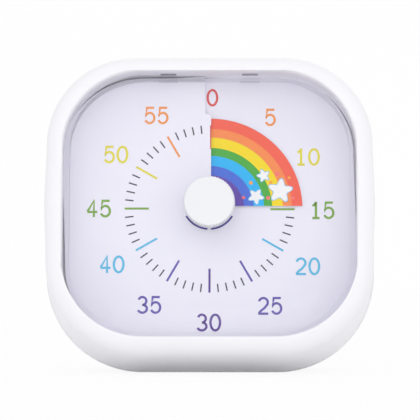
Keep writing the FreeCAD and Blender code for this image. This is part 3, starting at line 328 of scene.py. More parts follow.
class Surface:
    """A material, or the world's light, under construction."""

    def __init__(self, name, made=None):
        self.material = made or bpy.data.materials.new(name)
        self.material.use_nodes = True
        self.tree = self.material.node_tree
        self.shader = self.tree.nodes.get("Principled BSDF")
        self.output = next(node for node in self.tree.nodes if node.type.startswith("OUTPUT"))

    def node(self, kind, settings=None, values=()):
        """A node of this type: settings first, then its sockets' values or links."""
        made = self.tree.nodes.new(kind)
        for name, setting in (settings or {}).items():
            setattr(made, name, setting)
        pairs = values.items() if isinstance(values, dict) else enumerate(values)
        for place, value in pairs:
            if isinstance(value, Value):
                self.tree.links.new(value.socket, made.inputs[place])
            else:
                made.inputs[place].default_value = value
        return made

    def value(self, kind, output, settings=None, values=()):
        return Value(self, self.node(kind, settings, values).outputs[output])

    def link(self, socket_name, value):
        self.tree.links.new(value.socket, self.shader.inputs[socket_name])

    def constant(self, **sockets):
        for name, value in sockets.items():
            self.shader.inputs[name.replace("_", " ")].default_value = value

    def place(self):
        """Position on the piece, in metres, that stays with it as it moves."""
        return self.value("ShaderNodeTexCoord", "Object")

    def noise(self, scale, detail=3.0, roughness=0.5):
        values = {"Vector": self.place(), "Scale": scale, "Detail": detail, "Roughness": roughness}
        return self.value("ShaderNodeTexNoise", "Fac", None, values)

    def mix(self, share, first, second, how="MIX"):
        """A colour between two, by share."""
        first, second = (
            value if isinstance(value, Value) else (*value, 1.0) for value in (first, second)
        )
        settings = {"data_type": "RGBA", "blend_type": how}
        values = {MIX_SHARE: share, MIX_FIRST: first, MIX_SECOND: second}
        return self.value("ShaderNodeMix", MIX_RESULT, settings, values)

    def past(self, value, start, end, how="LINEAR"):
        """0 below the start, 1 above the end."""
        values = {"Value": value, "From Min": start, "From Max": end}
        return self.value("ShaderNodeMapRange", "Result", {"interpolation_type": how}, values)

    def blend(self, share, first, second):
        """A shader between two, by share."""
        join = self.node("ShaderNodeMixShader", None, (share,))
        self.tree.links.new(first, join.inputs[1])
        self.tree.links.new(second, join.inputs[2])
        return join.outputs[0]

    def show(self, shader):
        self.tree.links.new(shader, self.output.inputs["Surface"])

    def seen_directly(self):
        """1 for rays from the camera, off gloss and through clear parts, else 0."""
        rays = self.node("ShaderNodeLightPath")
        camera, glossy, through = (
            Value(self, rays.outputs[f"Is {name} Ray"])
            for name in ("Camera", "Glossy", "Transmission")
        )
        return camera.largest(glossy.largest(through))

    def rough(self, level, scale, swing):
        """Roughness about a level, a little uneven."""
        self.link("Roughness", level + (self.noise(scale) - 0.5) * swing)

    def bump(self, height, strength, distance):
        values = {"Height": height, "Strength": strength, "Distance": distance}
        self.link("Normal", self.value("ShaderNodeBump", "Normal", None, values))


def shade(base, factor):
    """A lighter or darker shade of a colour."""
    return tuple(min(1.0, channel * factor) for channel in base)


def moulded(name, base, roughness=0.38):
    """Moulded plastic: a fine spark texture, faint mottling and uneven gloss."""
    surface = Surface(name)
    mottle = surface.noise(60.0, 4.0)
    surface.link("Base Color", surface.mix(mottle, shade(base, 0.985), shade(base, 1.012)))
    surface.rough(roughness, scale=220.0, swing=0.12)
    surface.constant(Specular_IOR_Level=0.4)
    surface.bump(surface.noise(2600.0, 2.0), strength=0.35, distance=0.000012)
    return surface.material


def printed_ink(name, base):
    """A matt colour with slightly uneven cover and a low sheen: printed ink, and also painted shadow and painted
    refraction.
    """
    surface = Surface(name)
    cover = surface.noise(900.0, 3.0)
    surface.link("Base Color", surface.mix(cover, shade(base, 0.96), shade(base, 1.03)))
    surface.rough(0.42, scale=1500.0, swing=0.1)
    return surface.material


def metal(name, base, roughness=0.28):
    """Plated metal with fine drawn lines."""
    surface = Surface(name)
    lines = surface.noise(700.0, 5.0, 0.65)
    surface.link("Base Color", surface.mix(lines, shade(base, 0.88), base))
    surface.link("Roughness", roughness + (lines - 0.5) * 0.2)
    surface.constant(Metallic=1.0)
    surface.bump(lines, strength=0.2, distance=0.00001)
    return surface.material


# Where the painted shade at the dial's edge begins and is full, in millimetres from the axis
PAINTED_EDGE_SHADE = (24.0, 46.0)


def dial_sheet(name, base):
    """The dial's matt printed sheet, with painted shade that darkens it towards its edges in the case's recess."""
    surface = Surface(name)
    reach = axis_distance(surface)
    start, end = PAINTED_EDGE_SHADE
    edge = surface.past(reach, start * MILLIMETRE, end * MILLIMETRE, "SMOOTHSTEP")
    paper = surface.mix(surface.noise(140.0, 4.0), shade(base, 0.99), shade(base, 1.008))
    # Painted shade of the case's recess: the sheet goes darker from the edge shade's start to its end
    painted_shade = surface.mix(edge, (1.0, 1.0, 1.0), (0.93, 0.93, 0.95))
    surface.link("Base Color", surface.mix(1.0, paper, painted_shade, "MULTIPLY"))
    surface.rough(0.55, scale=600.0, swing=0.1)
    surface.constant(Specular_IOR_Level=0.25)
    surface.bump(surface.noise(3200.0, 2.0), strength=0.2, distance=0.000008)
    return surface.material


def axis_distance(surface):
    """Distance of a surface point from the dial's axis, in metres."""

    def vector(operation, output, *values):
        return surface.value("ShaderNodeVectorMath", output, {"operation": operation}, values)

    arm = vector("SUBTRACT", 0, surface.place(), tuple(CENTRE))
    return vector("LENGTH", "Value", vector("CROSS_PRODUCT", 0, arm, tuple(INWARD)))


# Bands of the disc from the middle outwards: outer radius in millimetres, colour
BANDS = [
    (9.4, srgb(108, 82, 180)),
    (12.0, srgb(82, 118, 224)),
    (14.8, srgb(50, 190, 252)),
    (17.0, srgb(82, 178, 72)),
    (19.9, srgb(255, 226, 42)),
    (22.3, srgb(255, 147, 86)),
    (30.0, srgb(252, 106, 86)),
]
BAND_BLUR = 0.05


def rainbow_print(name):
    """Plain concentric bands printed on the disc."""
    surface = Surface(name)
    reach = axis_distance(surface)
    shown = BANDS[0][1]
    for (inner, _), (_, band) in zip(BANDS, BANDS[1:]):
        start, end = (inner - BAND_BLUR) * MILLIMETRE, (inner + BAND_BLUR) * MILLIMETRE
        shown = surface.mix(surface.past(reach, start, end), shown, band)
    grain = surface.mix(surface.noise(700.0, 3.0), (0.97, 0.97, 0.97), (1.0, 1.0, 1.0))
    surface.link("Base Color", surface.mix(1.0, shown, grain, "MULTIPLY"))
    surface.rough(0.45, scale=900.0, swing=0.1)
    surface.constant(Specular_IOR_Level=0.3)
    return surface.material


# How sharply and how strongly the painted shade at a slant greys the lens
SLANT_POWER = 14.0
SLANT_SHARE = 0.35
GLOSS_SHARE = 0.22


def clear_acrylic(name):
    """Thin clear acrylic: light passes straight on, glossier at a slant, and greyer at a slant as painted shade
    for the darker lines that refraction draws at its rounded edges.
    """
    surface = Surface(name)
    surface.constant(Base_Color=(1.0, 1.0, 1.0, 1.0), Metallic=1.0)
    surface.link("Roughness", 0.03 + surface.noise(40.0) * 0.02)
    clear = surface.node("ShaderNodeBsdfTransparent", None, {"Color": (0.995, 0.995, 1.0, 1.0)})
    # Painted shade at a slant, standing in for the lens edges' refraction
    slant_shade = surface.node("ShaderNodeBsdfTransparent", None, {"Color": (0.8, 0.8, 0.84, 1.0)})
    slant = surface.value("ShaderNodeLayerWeight", "Facing", None, {"Blend": 0.5})
    gloss = surface.value("ShaderNodeFresnel", "Fac", None, {"IOR": 1.49})
    slant_shaded = surface.blend(slant**SLANT_POWER * SLANT_SHARE, clear.outputs[0], slant_shade.outputs[0])
    surface.show(surface.blend(gloss * GLOSS_SHARE, slant_shaded, surface.shader.outputs[0]))
    return surface.material


def material(name, maker, *values, **options):
    """The material of this name, made once."""
    return bpy.data.materials.get(name) or maker(name, *values, **options)


def case_plastic():
    looks = bpy.context.scene.timer_case
    return material("case_plastic", moulded, tuple(looks.plastic))


# Case, in millimetres

# Gap that keeps faces out of one plane
HAIR = 0.02
WINDOW_GAP = 0.15
WINDOW_CORNER = 21.7
# Ledge behind the dial: how far it stands into the window, and its thickness
LEDGE_REACH = 4.0
LEDGE_THICK = 2.0
# How far the rim's lower side lies above the parting line's
CHIN = 1.6
DRAFT = 0.25
WALL_ROWS = (-2.0, 3.0, 8.0)
# Window's lip: outwards from the window, behind the rim
LIP = [(0.0, 0.75), (0.06, 0.4), (0.22, 0.14), (0.5, HAIR)]
# Edge at the parting line: inwards from the side, before the parting line
SEAM = [(0.0, 0.28), (0.16, 0.08), (0.4, HAIR), (1.8, HAIR)]


class TIMER_OT_case(bpy.types.Operator):
    """Front of the case with its rim, window wall and bowed sides"""

    bl_idname = "timer.build_case"
    bl_label = "Case"

    def execute(self, context):
        looks = context.scene.timer_case
        half = CASE_HIGH.x - looks.bulge
        top = CASE_HIGH.z
        rim, parting = CASE_LOW.y, CASE_HIGH.y
        low_parting = -CASE_LOW.z
        window_half, window_high = LENS_HIGH.x + WINDOW_GAP, LENS_HIGH.z + WINDOW_GAP
        ledge = DIAL_HIGH.y + HAIR
        radius = looks.rim_round
        rows = []

        def outer(inset, depth):
            share = (depth - rim) / (parting - rim)
            bottom = low_parting - CHIN * (1 - share)
            outline = rounded_outline(
                half - inset,
                top - inset - HAIR,
                bottom - inset,
                looks.corner - inset,
                looks.bulge,
                looks.low_corner - inset,
            )
            rows.append(level(outline, depth))

        def inner(extra, depth):
            high = window_high + extra
            outline = rounded_outline(window_half + extra, high, high, WINDOW_CORNER + extra)
            rows.append(level(outline, depth))

        inner(-LEDGE_REACH, DIAL_HIGH.y + LEDGE_THICK)
        inner(-LEDGE_REACH, ledge)
        inner(0.0, ledge)
        for extra, depth in LIP:
            inner(extra, rim + depth)
        for sine, rest in quarter(18):
            outer(DRAFT + radius * (1 - sine), rim + radius * rest)
        for depth in (*WALL_ROWS, parting - 0.5):
            outer(DRAFT * (parting - depth) / (parting - rim), depth)
        for inset, depth in SEAM:
            outer(inset, parting - depth)
        points, faces = grid(rows, wrap_columns=True)
        mesh = mesh_of("case_front", points, faces)
        piece = new_piece("case_front", mesh, "case", case_plastic())
        sharpen(piece, angle=50.0)
        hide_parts("case_shell")
        return {"FINISHED"}


# Lens, in millimetres

LENS_HOLE = 7.0
LENS_CORNER = 21.55
LENS_EDGE = 1.2
LENS_THICK = 1.5
LENS_WALL = 1.6
# Rounding of the hole's and the foot's edges
LENS_BEVEL = 0.15
LENS_FOOT = 0.2
# Rows between the hole and the wall, as shares of the way
PULLS = (0.3, 0.7)
# Snap tabs of the lens: their sides across the window's top wall
TABS = [(-13.5, -9.2), (8.8, 13.1)]
# Depths of the painted shadow in the tabs' slots on the window's top wall
SLOT_DEPTHS = (-4.2, -2.2)
# Painted shadows of the tabs on the dial's edge: depth, heights and how much wider they are
SHADE_DEPTH = -1.45
SHADE_HEIGHTS = (35.4, 35.0)
SHADE_EXTRA = 0.5
# Painted shadow of the tab at each side of the window: its heights and depths
SIDE_TAB = (-1.8, 2.6, -4.4, -3.4)
MARK_LIFT = 0.1
# Painted refraction of the disc's violet middle in the hole's bevel, darkened as painted shade: radii from the
# hole's, and the turns it covers
REFRACTION_RADII = (-0.1, 0.38)
REFRACTION_TURNS = ((120, 176), (184, 240))
REFRACTION_LIFT = 0.01


class TIMER_OT_lens(bpy.types.Operator):
    """Clear lens tray with a hole for the knob"""

    bl_idname = "timer.build_lens"
    bl_label = "Lens"

    def execute(self, context):
        front, foot = LENS_LOW.y, LENS_HIGH.y
        half, high = LENS_HIGH.x, LENS_HIGH.z
        inside = front + LENS_THICK
        rows = []

        def ring(inset, depth):
            side = high - inset
            outline = rounded_outline(half - inset, side, side, LENS_CORNER - inset)
            rows.append(level(outline, depth))

        def plate(radius, depth, pull=0.0):
            """A row between the hole and the wall, drawn outwards by the pull."""
            side = high - LENS_WALL
            outline = rounded_outline(half - LENS_WALL, side, side, LENS_CORNER - LENS_WALL)
            row = []
            for x, z in outline:
                near = radius / math.hypot(x, z)
                share = near + (1 - near) * pull
                row.append((x * share, depth, z * share))
            rows.append(row)

        plate(LENS_HOLE, inside - LENS_BEVEL)
        plate(LENS_HOLE, front + LENS_BEVEL)
        plate(LENS_HOLE + LENS_BEVEL, front)
        for pull in PULLS:
            plate(LENS_HOLE, front, pull)
        ring(LENS_EDGE + 0.6, front)
        for sine, rest in quarter(8):
            ring(LENS_EDGE * (1 - sine), front + LENS_EDGE * rest)
        for inset, depth in (
            (0.0, foot - LENS_FOOT),
            (LENS_FOOT, foot),
            (LENS_WALL - LENS_FOOT, foot),
            (LENS_WALL, foot - LENS_FOOT),
            (LENS_WALL, inside + 0.5),
            (LENS_WALL + LENS_BEVEL, inside + LENS_BEVEL),
            (LENS_WALL + 0.5, inside),
        ):
            ring(inset, depth)
        for pull in PULLS[::-1]:
            plate(LENS_HOLE, inside, pull)
        plate(LENS_HOLE + LENS_BEVEL, inside)
        points, faces = grid(rows, wrap_rows=True, wrap_columns=True)
        mesh = mesh_of("lens_tray", points, faces)
        acrylic = material("lens_acrylic", clear_acrylic)
        piece = new_piece("lens_tray", mesh, "case", acrylic)
        sharpen(piece, angle=40.0)
        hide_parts("lens")
        self.hole_tint(front)
        self.clips()
        return {"FINISHED"}

    def hole_tint(self, front):
        """Painted refraction of the disc's violet middle on the hole's bevel, darkened as painted shade in the gap
        under the knob.
        """
        # The bevel's dark violet is painted refraction and painted shade, not a colour of the lens
        ink = material("hole_violet", printed_ink, srgb(62, 46, 132))
        for number, (start, end) in enumerate(REFRACTION_TURNS):
            turns = range(start, end + 1, 2)
            rows = [
                [at(LENS_HOLE + extra, turn, front - REFRACTION_LIFT) for turn in turns]
                for extra in REFRACTION_RADII
            ]
            mesh = mesh_of("hole_painted_refraction", *grid(rows))
            new_piece(f"hole_painted_refraction_{number}", mesh, "case", ink)

    def clips(self):
        """Painted shadows of the lens's snap tabs: dark in their slots on the window's top wall, paler on the
        dial's edge and at the window's sides.
        """
        top, side = LENS_HIGH.z + MARK_LIFT, LENS_HIGH.x + MARK_LIFT
        # Painted shadow in the slots: dark quads on the window's top wall
        painted_shade = [[(x, y, top) for x, y in box(*tab, *SLOT_DEPTHS)] for tab in TABS]
        # Paler painted shadows of the tabs on the dial's edge
        pale = [
            [
                (x, SHADE_DEPTH, z)
                for x, z in box(left - SHADE_EXTRA, right + SHADE_EXTRA, *SHADE_HEIGHTS)
            ]
            for left, right in TABS
        ]
        # Paler painted shadows of the side tabs on the window's walls
        pale += [[(edge, y, z) for z, y in box(*SIDE_TAB)] for edge in (-side, side)]
        # Both pieces are painted shadow, with no part of their own under them
        for name, quads, ink in (
            ("slot_painted_shadows", painted_shade, material("clip_slot", printed_ink, srgb(120, 118, 132))),
            ("clip_shades", pale, material("clip_shade", printed_ink, srgb(214, 211, 226))),
        ):
            new_piece(name, mesh_of(name, *loose_faces(quads)), "case", ink)


def box(left, right, near, far):
    """Corners of a rectangle, in turn."""
    return [(left, near), (right, near), (right, far), (left, far)]


# Dial and disc


def dial_depth(turn):
    """Depth of the dial's middle surface at a clockwise angle from the top, in degrees."""
    return STEP * (0.5 - turn / 360.0)


def disc_depth(turn):
    """Depth of the disc's middle surface, where the slit is at turn 0."""
    return -STEP * turn / 360.0


def at(radius, turn, depth):
    """A local point from its clockwise angle from the top."""
    angle = math.radians(turn)
    return (radius * math.sin(angle), depth, radius * math.cos(angle))


def edge_reach(turn):
    """Distance from the axis to the dial's rounded outline in one direction."""
    across, up = abs(math.sin(math.radians(turn))), abs(math.cos(math.radians(turn)))
    near, far = 0.0, DIAL_HIGH.x + DIAL_HIGH.z
    for _ in range(40):
        reach = (near + far) / 2
        x = max(reach * across - (DIAL_HIGH.x - LENS_CORNER), 0.0)
        z = max(reach * up - (DIAL_HIGH.z - LENS_CORNER), 0.0)
        near, far = (reach, far) if math.hypot(x, z) <= LENS_CORNER else (near, reach)
    return near


# Steps round the dial and the disc
COLUMNS = 180
SHEET_THICK = 0.5
SHEET_HOLE = 4.3
# Front flap at the slit: radius, rounding of its corner and how far right it reaches
FLAP_RADIUS = 26.3
FLAP_ROUND = 1.0
FLAP_SIDE = 0.35
# Where the sheet under the flap starts, and where the ring beyond it closes
UNDER_FLAP = -0.3
CLOSED_SLIT = -1.3


def flap_edge(radius):
    """How far right of the centre line the front flap reaches, round at its corner."""
    rise = max(0.0, radius - FLAP_RADIUS + FLAP_ROUND)
    return FLAP_SIDE - FLAP_ROUND + math.sqrt(max(0.0, FLAP_ROUND**2 - rise**2))


class TIMER_OT_dial(bpy.types.Operator):
    """Dial sheet, one shallow turn with a slit and an overlapping flap"""

    bl_idname = "timer.build_dial"
    bl_label = "Dial"

    def execute(self, context):
        looks = context.scene.timer_dial
        points, faces = [], []

        def sheet(radii, first_edge, last_edge_at, back_at):
            """One ring of the sheet: its radii by turn, its two edges and its back."""
            rows = []
            for column in range(COLUMNS + 1):
                share = column / COLUMNS
                front, back = [], []
                for radius_at in radii:
                    radius = radius_at(360.0 * share)
                    start = math.degrees(math.asin(first_edge / radius))
                    end = 360.0 + math.degrees(math.asin(last_edge_at(radius) / radius))
                    turn = start + (end - start) * share
                    depth = dial_depth(turn)
                    front.append(at(radius, turn, depth - SHEET_THICK / 2))
                    back.append(at(radius, turn, back_at(depth)))
                rows.append(front + back[::-1])
            ring_points, ring_faces = grid(rows, wrap_columns=True)
            offset = len(points)
            points.extend(ring_points)
            for face in ring_faces + end_caps(rows):
                faces.append(tuple(index + offset for index in face))

        def fixed(radius):
            return lambda turn: radius

        def towards_edge(share):
            return lambda turn: FLAP_RADIUS + share * (edge_reach(turn) - FLAP_RADIUS)

        start = FLAP_RADIUS - FLAP_ROUND
        inner = [fixed(SHEET_HOLE + (start - SHEET_HOLE) * step / 8) for step in range(9)]
        inner += [
            fixed(start + FLAP_ROUND * math.sin(math.radians(15 * step))) for step in range(1, 7)
        ]
        outer = [towards_edge(step / 6) for step in range(7)]
        sheet(inner, UNDER_FLAP, flap_edge, lambda depth: depth + SHEET_THICK / 2)
        sheet(outer, CLOSED_SLIT, lambda radius: CLOSED_SLIT, lambda depth: DIAL_HIGH.y)
        mesh = mesh_of("dial_sheet", points, faces)
        paper = material("dial_paper", dial_sheet, tuple(looks.sheet))
        piece = new_piece("dial_face", mesh, "case", paper)
        sharpen(piece, angle=30.0)
        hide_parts("dial_plate")
        return {"FINISHED"}


# Colours of the long marks and numerals by minute, the same before and after 30
MARK_COLOURS = {
    0: srgb(224, 85, 85),
    5: srgb(245, 155, 85),
    10: srgb(230, 220, 70),
    15: srgb(125, 170, 65),
    20: srgb(90, 190, 230),
    25: srgb(100, 85, 175),
    30: srgb(90, 60, 150),
}
# Middle of each numeral, right and up from the centre, in millimetres
NUMERAL_PLACES = {
    0: (0.65, 31.25),
    5: (16.5, 25.7),
    10: (26.6, 14.6),
    15: (30.6, -0.3),
    20: (26.6, -15.8),
    25: (16.4, -26.7),
    30: (-0.2, -31.3),
    35: (-16.3, -26.5),
    40: (-26.4, -15.4),
    45: (-30.1, 0.0),
    50: (-25.6, 15.0),
    55: (-14.6, 25.9),
}


def digit_strokes(digit):
    """Centre lines of a digit in a box 1 wide and 1 high, with its middle at 0."""
    if digit == "0":
        return [arc_points(0.0, 0.0, 0.42, 0.455, 0, 360, 48)]
    if digit == "1":
        flag = [(-0.3, 0.27), (-0.12, 0.31), (0.02, 0.46)]
        return [flag, [(0.02, 0.5), (0.02, -0.5)], [(-0.3, -0.455), (0.34, -0.455)]]
    if digit == "2":
        bow = arc_points(-0.01, 0.2, 0.385, 0.255, 165, -28)
        slope = [(0.1, -0.12), (-0.25, -0.3), (-0.42, -0.455)]
        return [bow + slope, [(-0.44, -0.455), (0.42, -0.455)]]
    if digit == "3":
        upper = arc_points(-0.01, 0.225, 0.345, 0.23, 160, -90)
        lower = arc_points(-0.01, -0.225, 0.4, 0.23, 90, -160)
        return [upper, lower]
    if digit == "4":
        return [[(0.14, -0.5), (0.14, 0.46), (-0.42, -0.17)], [(-0.44, -0.2), (0.44, -0.2)]]
    bowl = arc_points(-0.02, -0.15, 0.41, 0.305, 140, -155, 28)
    return [[(0.36, 0.455), (-0.27, 0.455), (-0.36, -0.02)] + bowl]


# Least cosine of half a stroke's turn, which limits its corner
SHARPEST_CORNER = 0.55


def ribbon(path, width, closed=False):
    """Quads along a flat path, each a list of four corners."""
    sides = []
    for number, (x, z) in enumerate(path):
        before = path[number - 1] if number else path[-2 if closed else 0]
        after = path[number + 1] if number < len(path) - 1 else path[1 if closed else -1]
        first = Vector((x - before[0], z - before[1]))
        second = Vector((after[0] - x, after[1] - z))
        first = first.normalized() if first.length > 1e-9 else second.normalized()
        second = second.normalized() if second.length > 1e-9 else first
        along = first + second
        along = along.normalized() if along.length > 1e-6 else first
        spread = width / 2 / max(SHARPEST_CORNER, along.dot(first))
        aside, up = along.y * spread, along.x * spread
        sides.append(((x - aside, z + up), (x + aside, z - up)))
    return [
        (left, right, next_right, next_left)
        for (left, right), (next_left, next_right) in zip(sides, sides[1:])
    ]


INK_LIFT = 0.02


def on_dial(x, z):
    """A point of ink on the dial's front."""
    turn = math.degrees(math.atan2(x, z))
    slit = CLOSED_SLIT if math.hypot(x, z) > FLAP_RADIUS else FLAP_SIDE
    if x < (slit if z > 0 else 0.0):
        turn += 360.0
    return (x, dial_depth(turn) - SHEET_THICK / 2 - INK_LIFT, z)


def flat_piece(name, quads, lift_point, body, ink):
    """A piece of ink from flat shapes, each point of them lifted onto its sheet."""
    points, faces = loose_faces(face_viewer(quads))
    mesh = bpy.data.meshes.new(name)
    mesh.from_pydata([FACE @ Vector(lift_point(x, z)) for x, z in points], [], faces)
    mesh.validate()
    return new_piece(name, mesh, body, ink, smooth=False)


def face_viewer(quads):
    """Turns every shape to face out of the dial."""
    turned = []
    for quad in quads:
        sides = zip(quad, (*quad[1:], quad[0]))
        area = sum(x * next_z - next_x * z for (x, z), (next_x, next_z) in sides)
        turned.append(quad if area > 0 else quad[::-1])
    return turned


SMALL_WIDTH = 0.36
LONG_WIDTH = 0.57
# The mark at 0 is cut off by the slit: its sides right of the centre line
ZERO_SIDES = (0.06, 0.34)
MARK_STEPS = 4


def mark(minute, inner, outer, width):
    """Quads of a minute mark, in steps that follow the sheet."""
    angle = math.radians(6.0 * minute)
    along = Vector((math.sin(angle), math.cos(angle)))
    side = Vector((along.y, -along.x))
    left, right = (-width / 2, width / 2) if minute else ZERO_SIDES
    quads = []
    for step in range(MARK_STEPS):
        near = inner + (outer - inner) * step / MARK_STEPS
        far = inner + (outer - inner) * (step + 1) / MARK_STEPS
        quads.append(
            tuple(
                (along.x * reach + side.x * shift, along.y * reach + side.y * shift)
                for reach, shift in ((near, left), (near, right), (far, right), (far, left))
            )
        )
    return quads


class TIMER_OT_printing(bpy.types.Operator):
    """Minute marks and numerals on the dial"""

    bl_idname = "timer.build_printing"
    bl_label = "Printing"

    def execute(self, context):
        looks = context.scene.timer_dial
        small = []
        for minute in range(60):
            if minute % 5:
                small += mark(minute, looks.mark_inner, looks.mark_outer, SMALL_WIDTH)
        ink = material("minute_ink", printed_ink, tuple(looks.minute_ink))
        flat_piece("minute_marks", small, on_dial, "case", ink)
        for minute, (across, height) in NUMERAL_PLACES.items():
            quads = mark(minute, looks.long_inner, looks.mark_outer, LONG_WIDTH)
            digits = str(minute)
            pitch = looks.digit_width + looks.digit_gap
            for number, digit in enumerate(digits):
                shift = across + (number - (len(digits) - 1) / 2) * pitch
                for path in digit_strokes(digit):
                    placed = [
                        (shift + x * looks.digit_width, height + z * looks.digit_height)
                        for x, z in path
                    ]
                    quads += ribbon(placed, looks.digit_stroke, closed=digit == "0")
            tint = MARK_COLOURS[min(minute, 60 - minute)]
            ink = material(f"ink_{minute}", printed_ink, tint)
            flat_piece(f"numeral_{minute}", quads, on_dial, "case", ink)
        return {"FINISHED"}


DISC_THICK = 0.3
DISC_BORE = 3.8
# The disc's two ends: millimetres past the quarter, and degrees from the slit
LEADING_EDGE = 0.75
TRAILING_TURN = -269.0
RADIAL_STEPS = 10
# Faces less turned to the front than this show the disc's white core
FRONT_COSINE = -0.5


class TIMER_OT_disc(bpy.types.Operator):
    """Coloured disc, one shallow turn that threads through the slit"""

    bl_idname = "timer.build_disc"
    bl_label = "Coloured disc"

    def execute(self, context):
        radius = DISC_HIGH.x
        rows = []
        for column in range(COLUMNS + 1):
            share = column / COLUMNS
            front, back = [], []
            for step in range(RADIAL_STEPS + 1):
                reach = DISC_BORE + (radius - DISC_BORE) * step / RADIAL_STEPS
                lead = 90.0 - math.degrees(math.asin(LEADING_EDGE / reach))
                turn = TRAILING_TURN + (lead - TRAILING_TURN) * share
                depth = disc_depth(turn)
                front.append(at(reach, turn, depth - DISC_THICK / 2))
                back.append(at(reach, turn, depth + DISC_THICK / 2))
            rows.append(front + back[::-1])
        points, faces = grid(rows, wrap_columns=True)
        mesh = mesh_of("coloured_disc", points, faces + end_caps(rows))
        bands = material("rainbow_bands", rainbow_print)
        piece = new_piece("coloured_disc", mesh, "disc", bands)
        mesh.materials.append(material("disc_core", printed_ink, srgb(250, 250, 252)))
        for polygon in mesh.polygons:
            if polygon.normal.dot(INWARD) > FRONT_COSINE:
                polygon.material_index = 1
        sharpen(piece, angle=30.0)
        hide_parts("rainbow_disc")
        return {"FINISHED"}


STAR_POINTS = 5
# Fullness of a star between its points
STAR_POWER = 1.4


def star(across, height, outer, inner, turn):
    """Outline of a plump star."""
    outline = []
    steps = STAR_POINTS * 12
    for step in range(steps):
        angle = 2 * math.pi * step / steps
        wave = 0.5 + 0.5 * math.cos(STAR_POINTS * angle)
        reach = inner + (outer - inner) * wave**STAR_POWER
        outline.append(around(across, height, reach, reach, angle + math.radians(turn)))
    return outline


def fan(across, height, outline):
    """Triangles that fill an outline about its middle."""
    return [((across, height), *side) for side in zip(outline, outline[1:] + outline[:1])]


# Printed stars on the disc: across, height, size, turn
STARS = [(19.2, 5.0, 3.3, 12.0), (12.6, 3.4, 2.1, 60.0), (14.6, 9.2, 1.7, 35.0)]
# Waist of a star as a share of its size, and the width of its outline
STAR_WAIST = 0.56
STAR_LINE = 0.28
# Printed dots: across, height, size, ink
DOTS = [
    (15.9, 3.0, 0.55, "pink"),
    (16.6, 7.3, 0.45, "amber"),
    (22.6, 3.0, 0.5, "pink"),
    (11.2, 7.2, 0.5, "amber"),
    (18.4, 9.7, 0.6, "pink"),
    (9.2, 3.1, 0.45, "pink"),
    (21.6, 8.6, 0.42, "amber"),
]


class TIMER_OT_motif(bpy.types.Operator):
    """Plain printed stars and dots on the disc"""

    bl_idname = "timer.build_motif"
    bl_label = "Stars on the disc"

    def execute(self, context):
        def on_disc(lift):
            def placed(x, z):
                turn = math.degrees(math.atan2(x, z))
                return (x, disc_depth(turn) - DISC_THICK / 2 - lift, z)

            return placed

        outline_ink = material("star_outline_ink", printed_ink, srgb(140, 205, 240))
        white_ink = material("star_ink", printed_ink, srgb(252, 253, 255))
        pink = material("pink_ink", printed_ink, srgb(255, 120, 120))
        amber = material("amber_ink", printed_ink, srgb(255, 170, 60))
        outlines, fills, dots = [], [], {"pink": [], "amber": []}
        for across, height, size, turn in STARS:
            waist = size * STAR_WAIST
            wider = star(across, height, size + STAR_LINE, waist + STAR_LINE, turn)
            outlines += fan(across, height, wider)
            fills += fan(across, height, star(across, height, size, waist, turn))
        for across, height, size, ink in DOTS:
            dot = [around(across, height, size, size, math.radians(15 * n)) for n in range(24)]
            dots[ink] += fan(across, height, dot)
        for name, shapes, lift, ink in (
            ("star_outlines", outlines, 0.015, outline_ink),
            ("stars", fills, 0.025, white_ink),
            ("pink_dots", dots["pink"], 0.02, pink),
            ("amber_dots", dots["amber"], 0.02, amber),
        ):
            flat_piece(name, shapes, on_disc(lift), "disc", ink)
        return {"FINISHED"}


# Knob, in millimetres

KNOB_RADIUS = 6.9
DOME = 0.6
KNOB_EDGE = 0.6
SERRATIONS = 52
TOOTH_STEPS = 8
CUT_DEPTH = 0.26
# Sharpness of the cuts, and the length over which they fade in
CUT_POWER = 2.5
CUT_FADE = 0.35
# Socket for the shaft, and the radius of the closed middle
SOCKET_RADIUS = 1.55
SOCKET_DEPTH = 2.5
MIDDLE = 0.02


class TIMER_OT_knob(bpy.types.Operator):
    """Domed knob with a finely serrated wall"""

    bl_idname = "timer.build_knob"
    bl_label = "Knob"

    def execute(self, context):
        face, back = KNOB_LOW.y + DOME, KNOB_HIGH.y
        flat = KNOB_RADIUS - KNOB_EDGE
        profile = [(MIDDLE, face - DOME)]
        for step in range(1, 13):
            reach = flat * step / 12
            profile.append((reach, face - DOME * (1 - (reach / flat) ** 2)))
        for sine, rest in quarter(8)[1:]:
            profile.append((flat + KNOB_EDGE * sine, face + KNOB_EDGE * rest))
        wall_start = face + KNOB_EDGE
        for depth in (wall_start + 0.15, wall_start + 0.4, face + 3.0, back - 0.3):
            profile.append((KNOB_RADIUS, depth))
        profile += [
            (KNOB_RADIUS - 0.3, back),
            (SOCKET_RADIUS, back),
            (SOCKET_RADIUS, back - SOCKET_DEPTH),
            (MIDDLE, back - SOCKET_DEPTH),
        ]

        def serrated(reach, depth, step):
            """Radius after the cuts, which leave the face and the back whole."""
            if reach < KNOB_RADIUS - 0.4 or depth > back - 0.1:
                return reach
            fade = min(1.0, max(0.0, (depth - face) / CUT_FADE))
            wave = 0.5 - 0.5 * math.cos(2 * math.pi * step / TOOTH_STEPS)
            return reach - CUT_DEPTH * fade * wave**CUT_POWER

        rows = lathe(profile, SERRATIONS * TOOTH_STEPS, serrated)
        points, faces = grid(rows, wrap_columns=True)
        plastic = material("knob_plastic", moulded, srgb(238, 239, 243), roughness=0.34)
        mesh = mesh_of("knob_cap", points, faces)
        piece = new_piece("knob_cap", mesh, "time_knob", plastic)
        sharpen(piece, angle=50.0)
        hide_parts("knob")
        return {"FINISHED"}


# CAD nodes that keep their shape

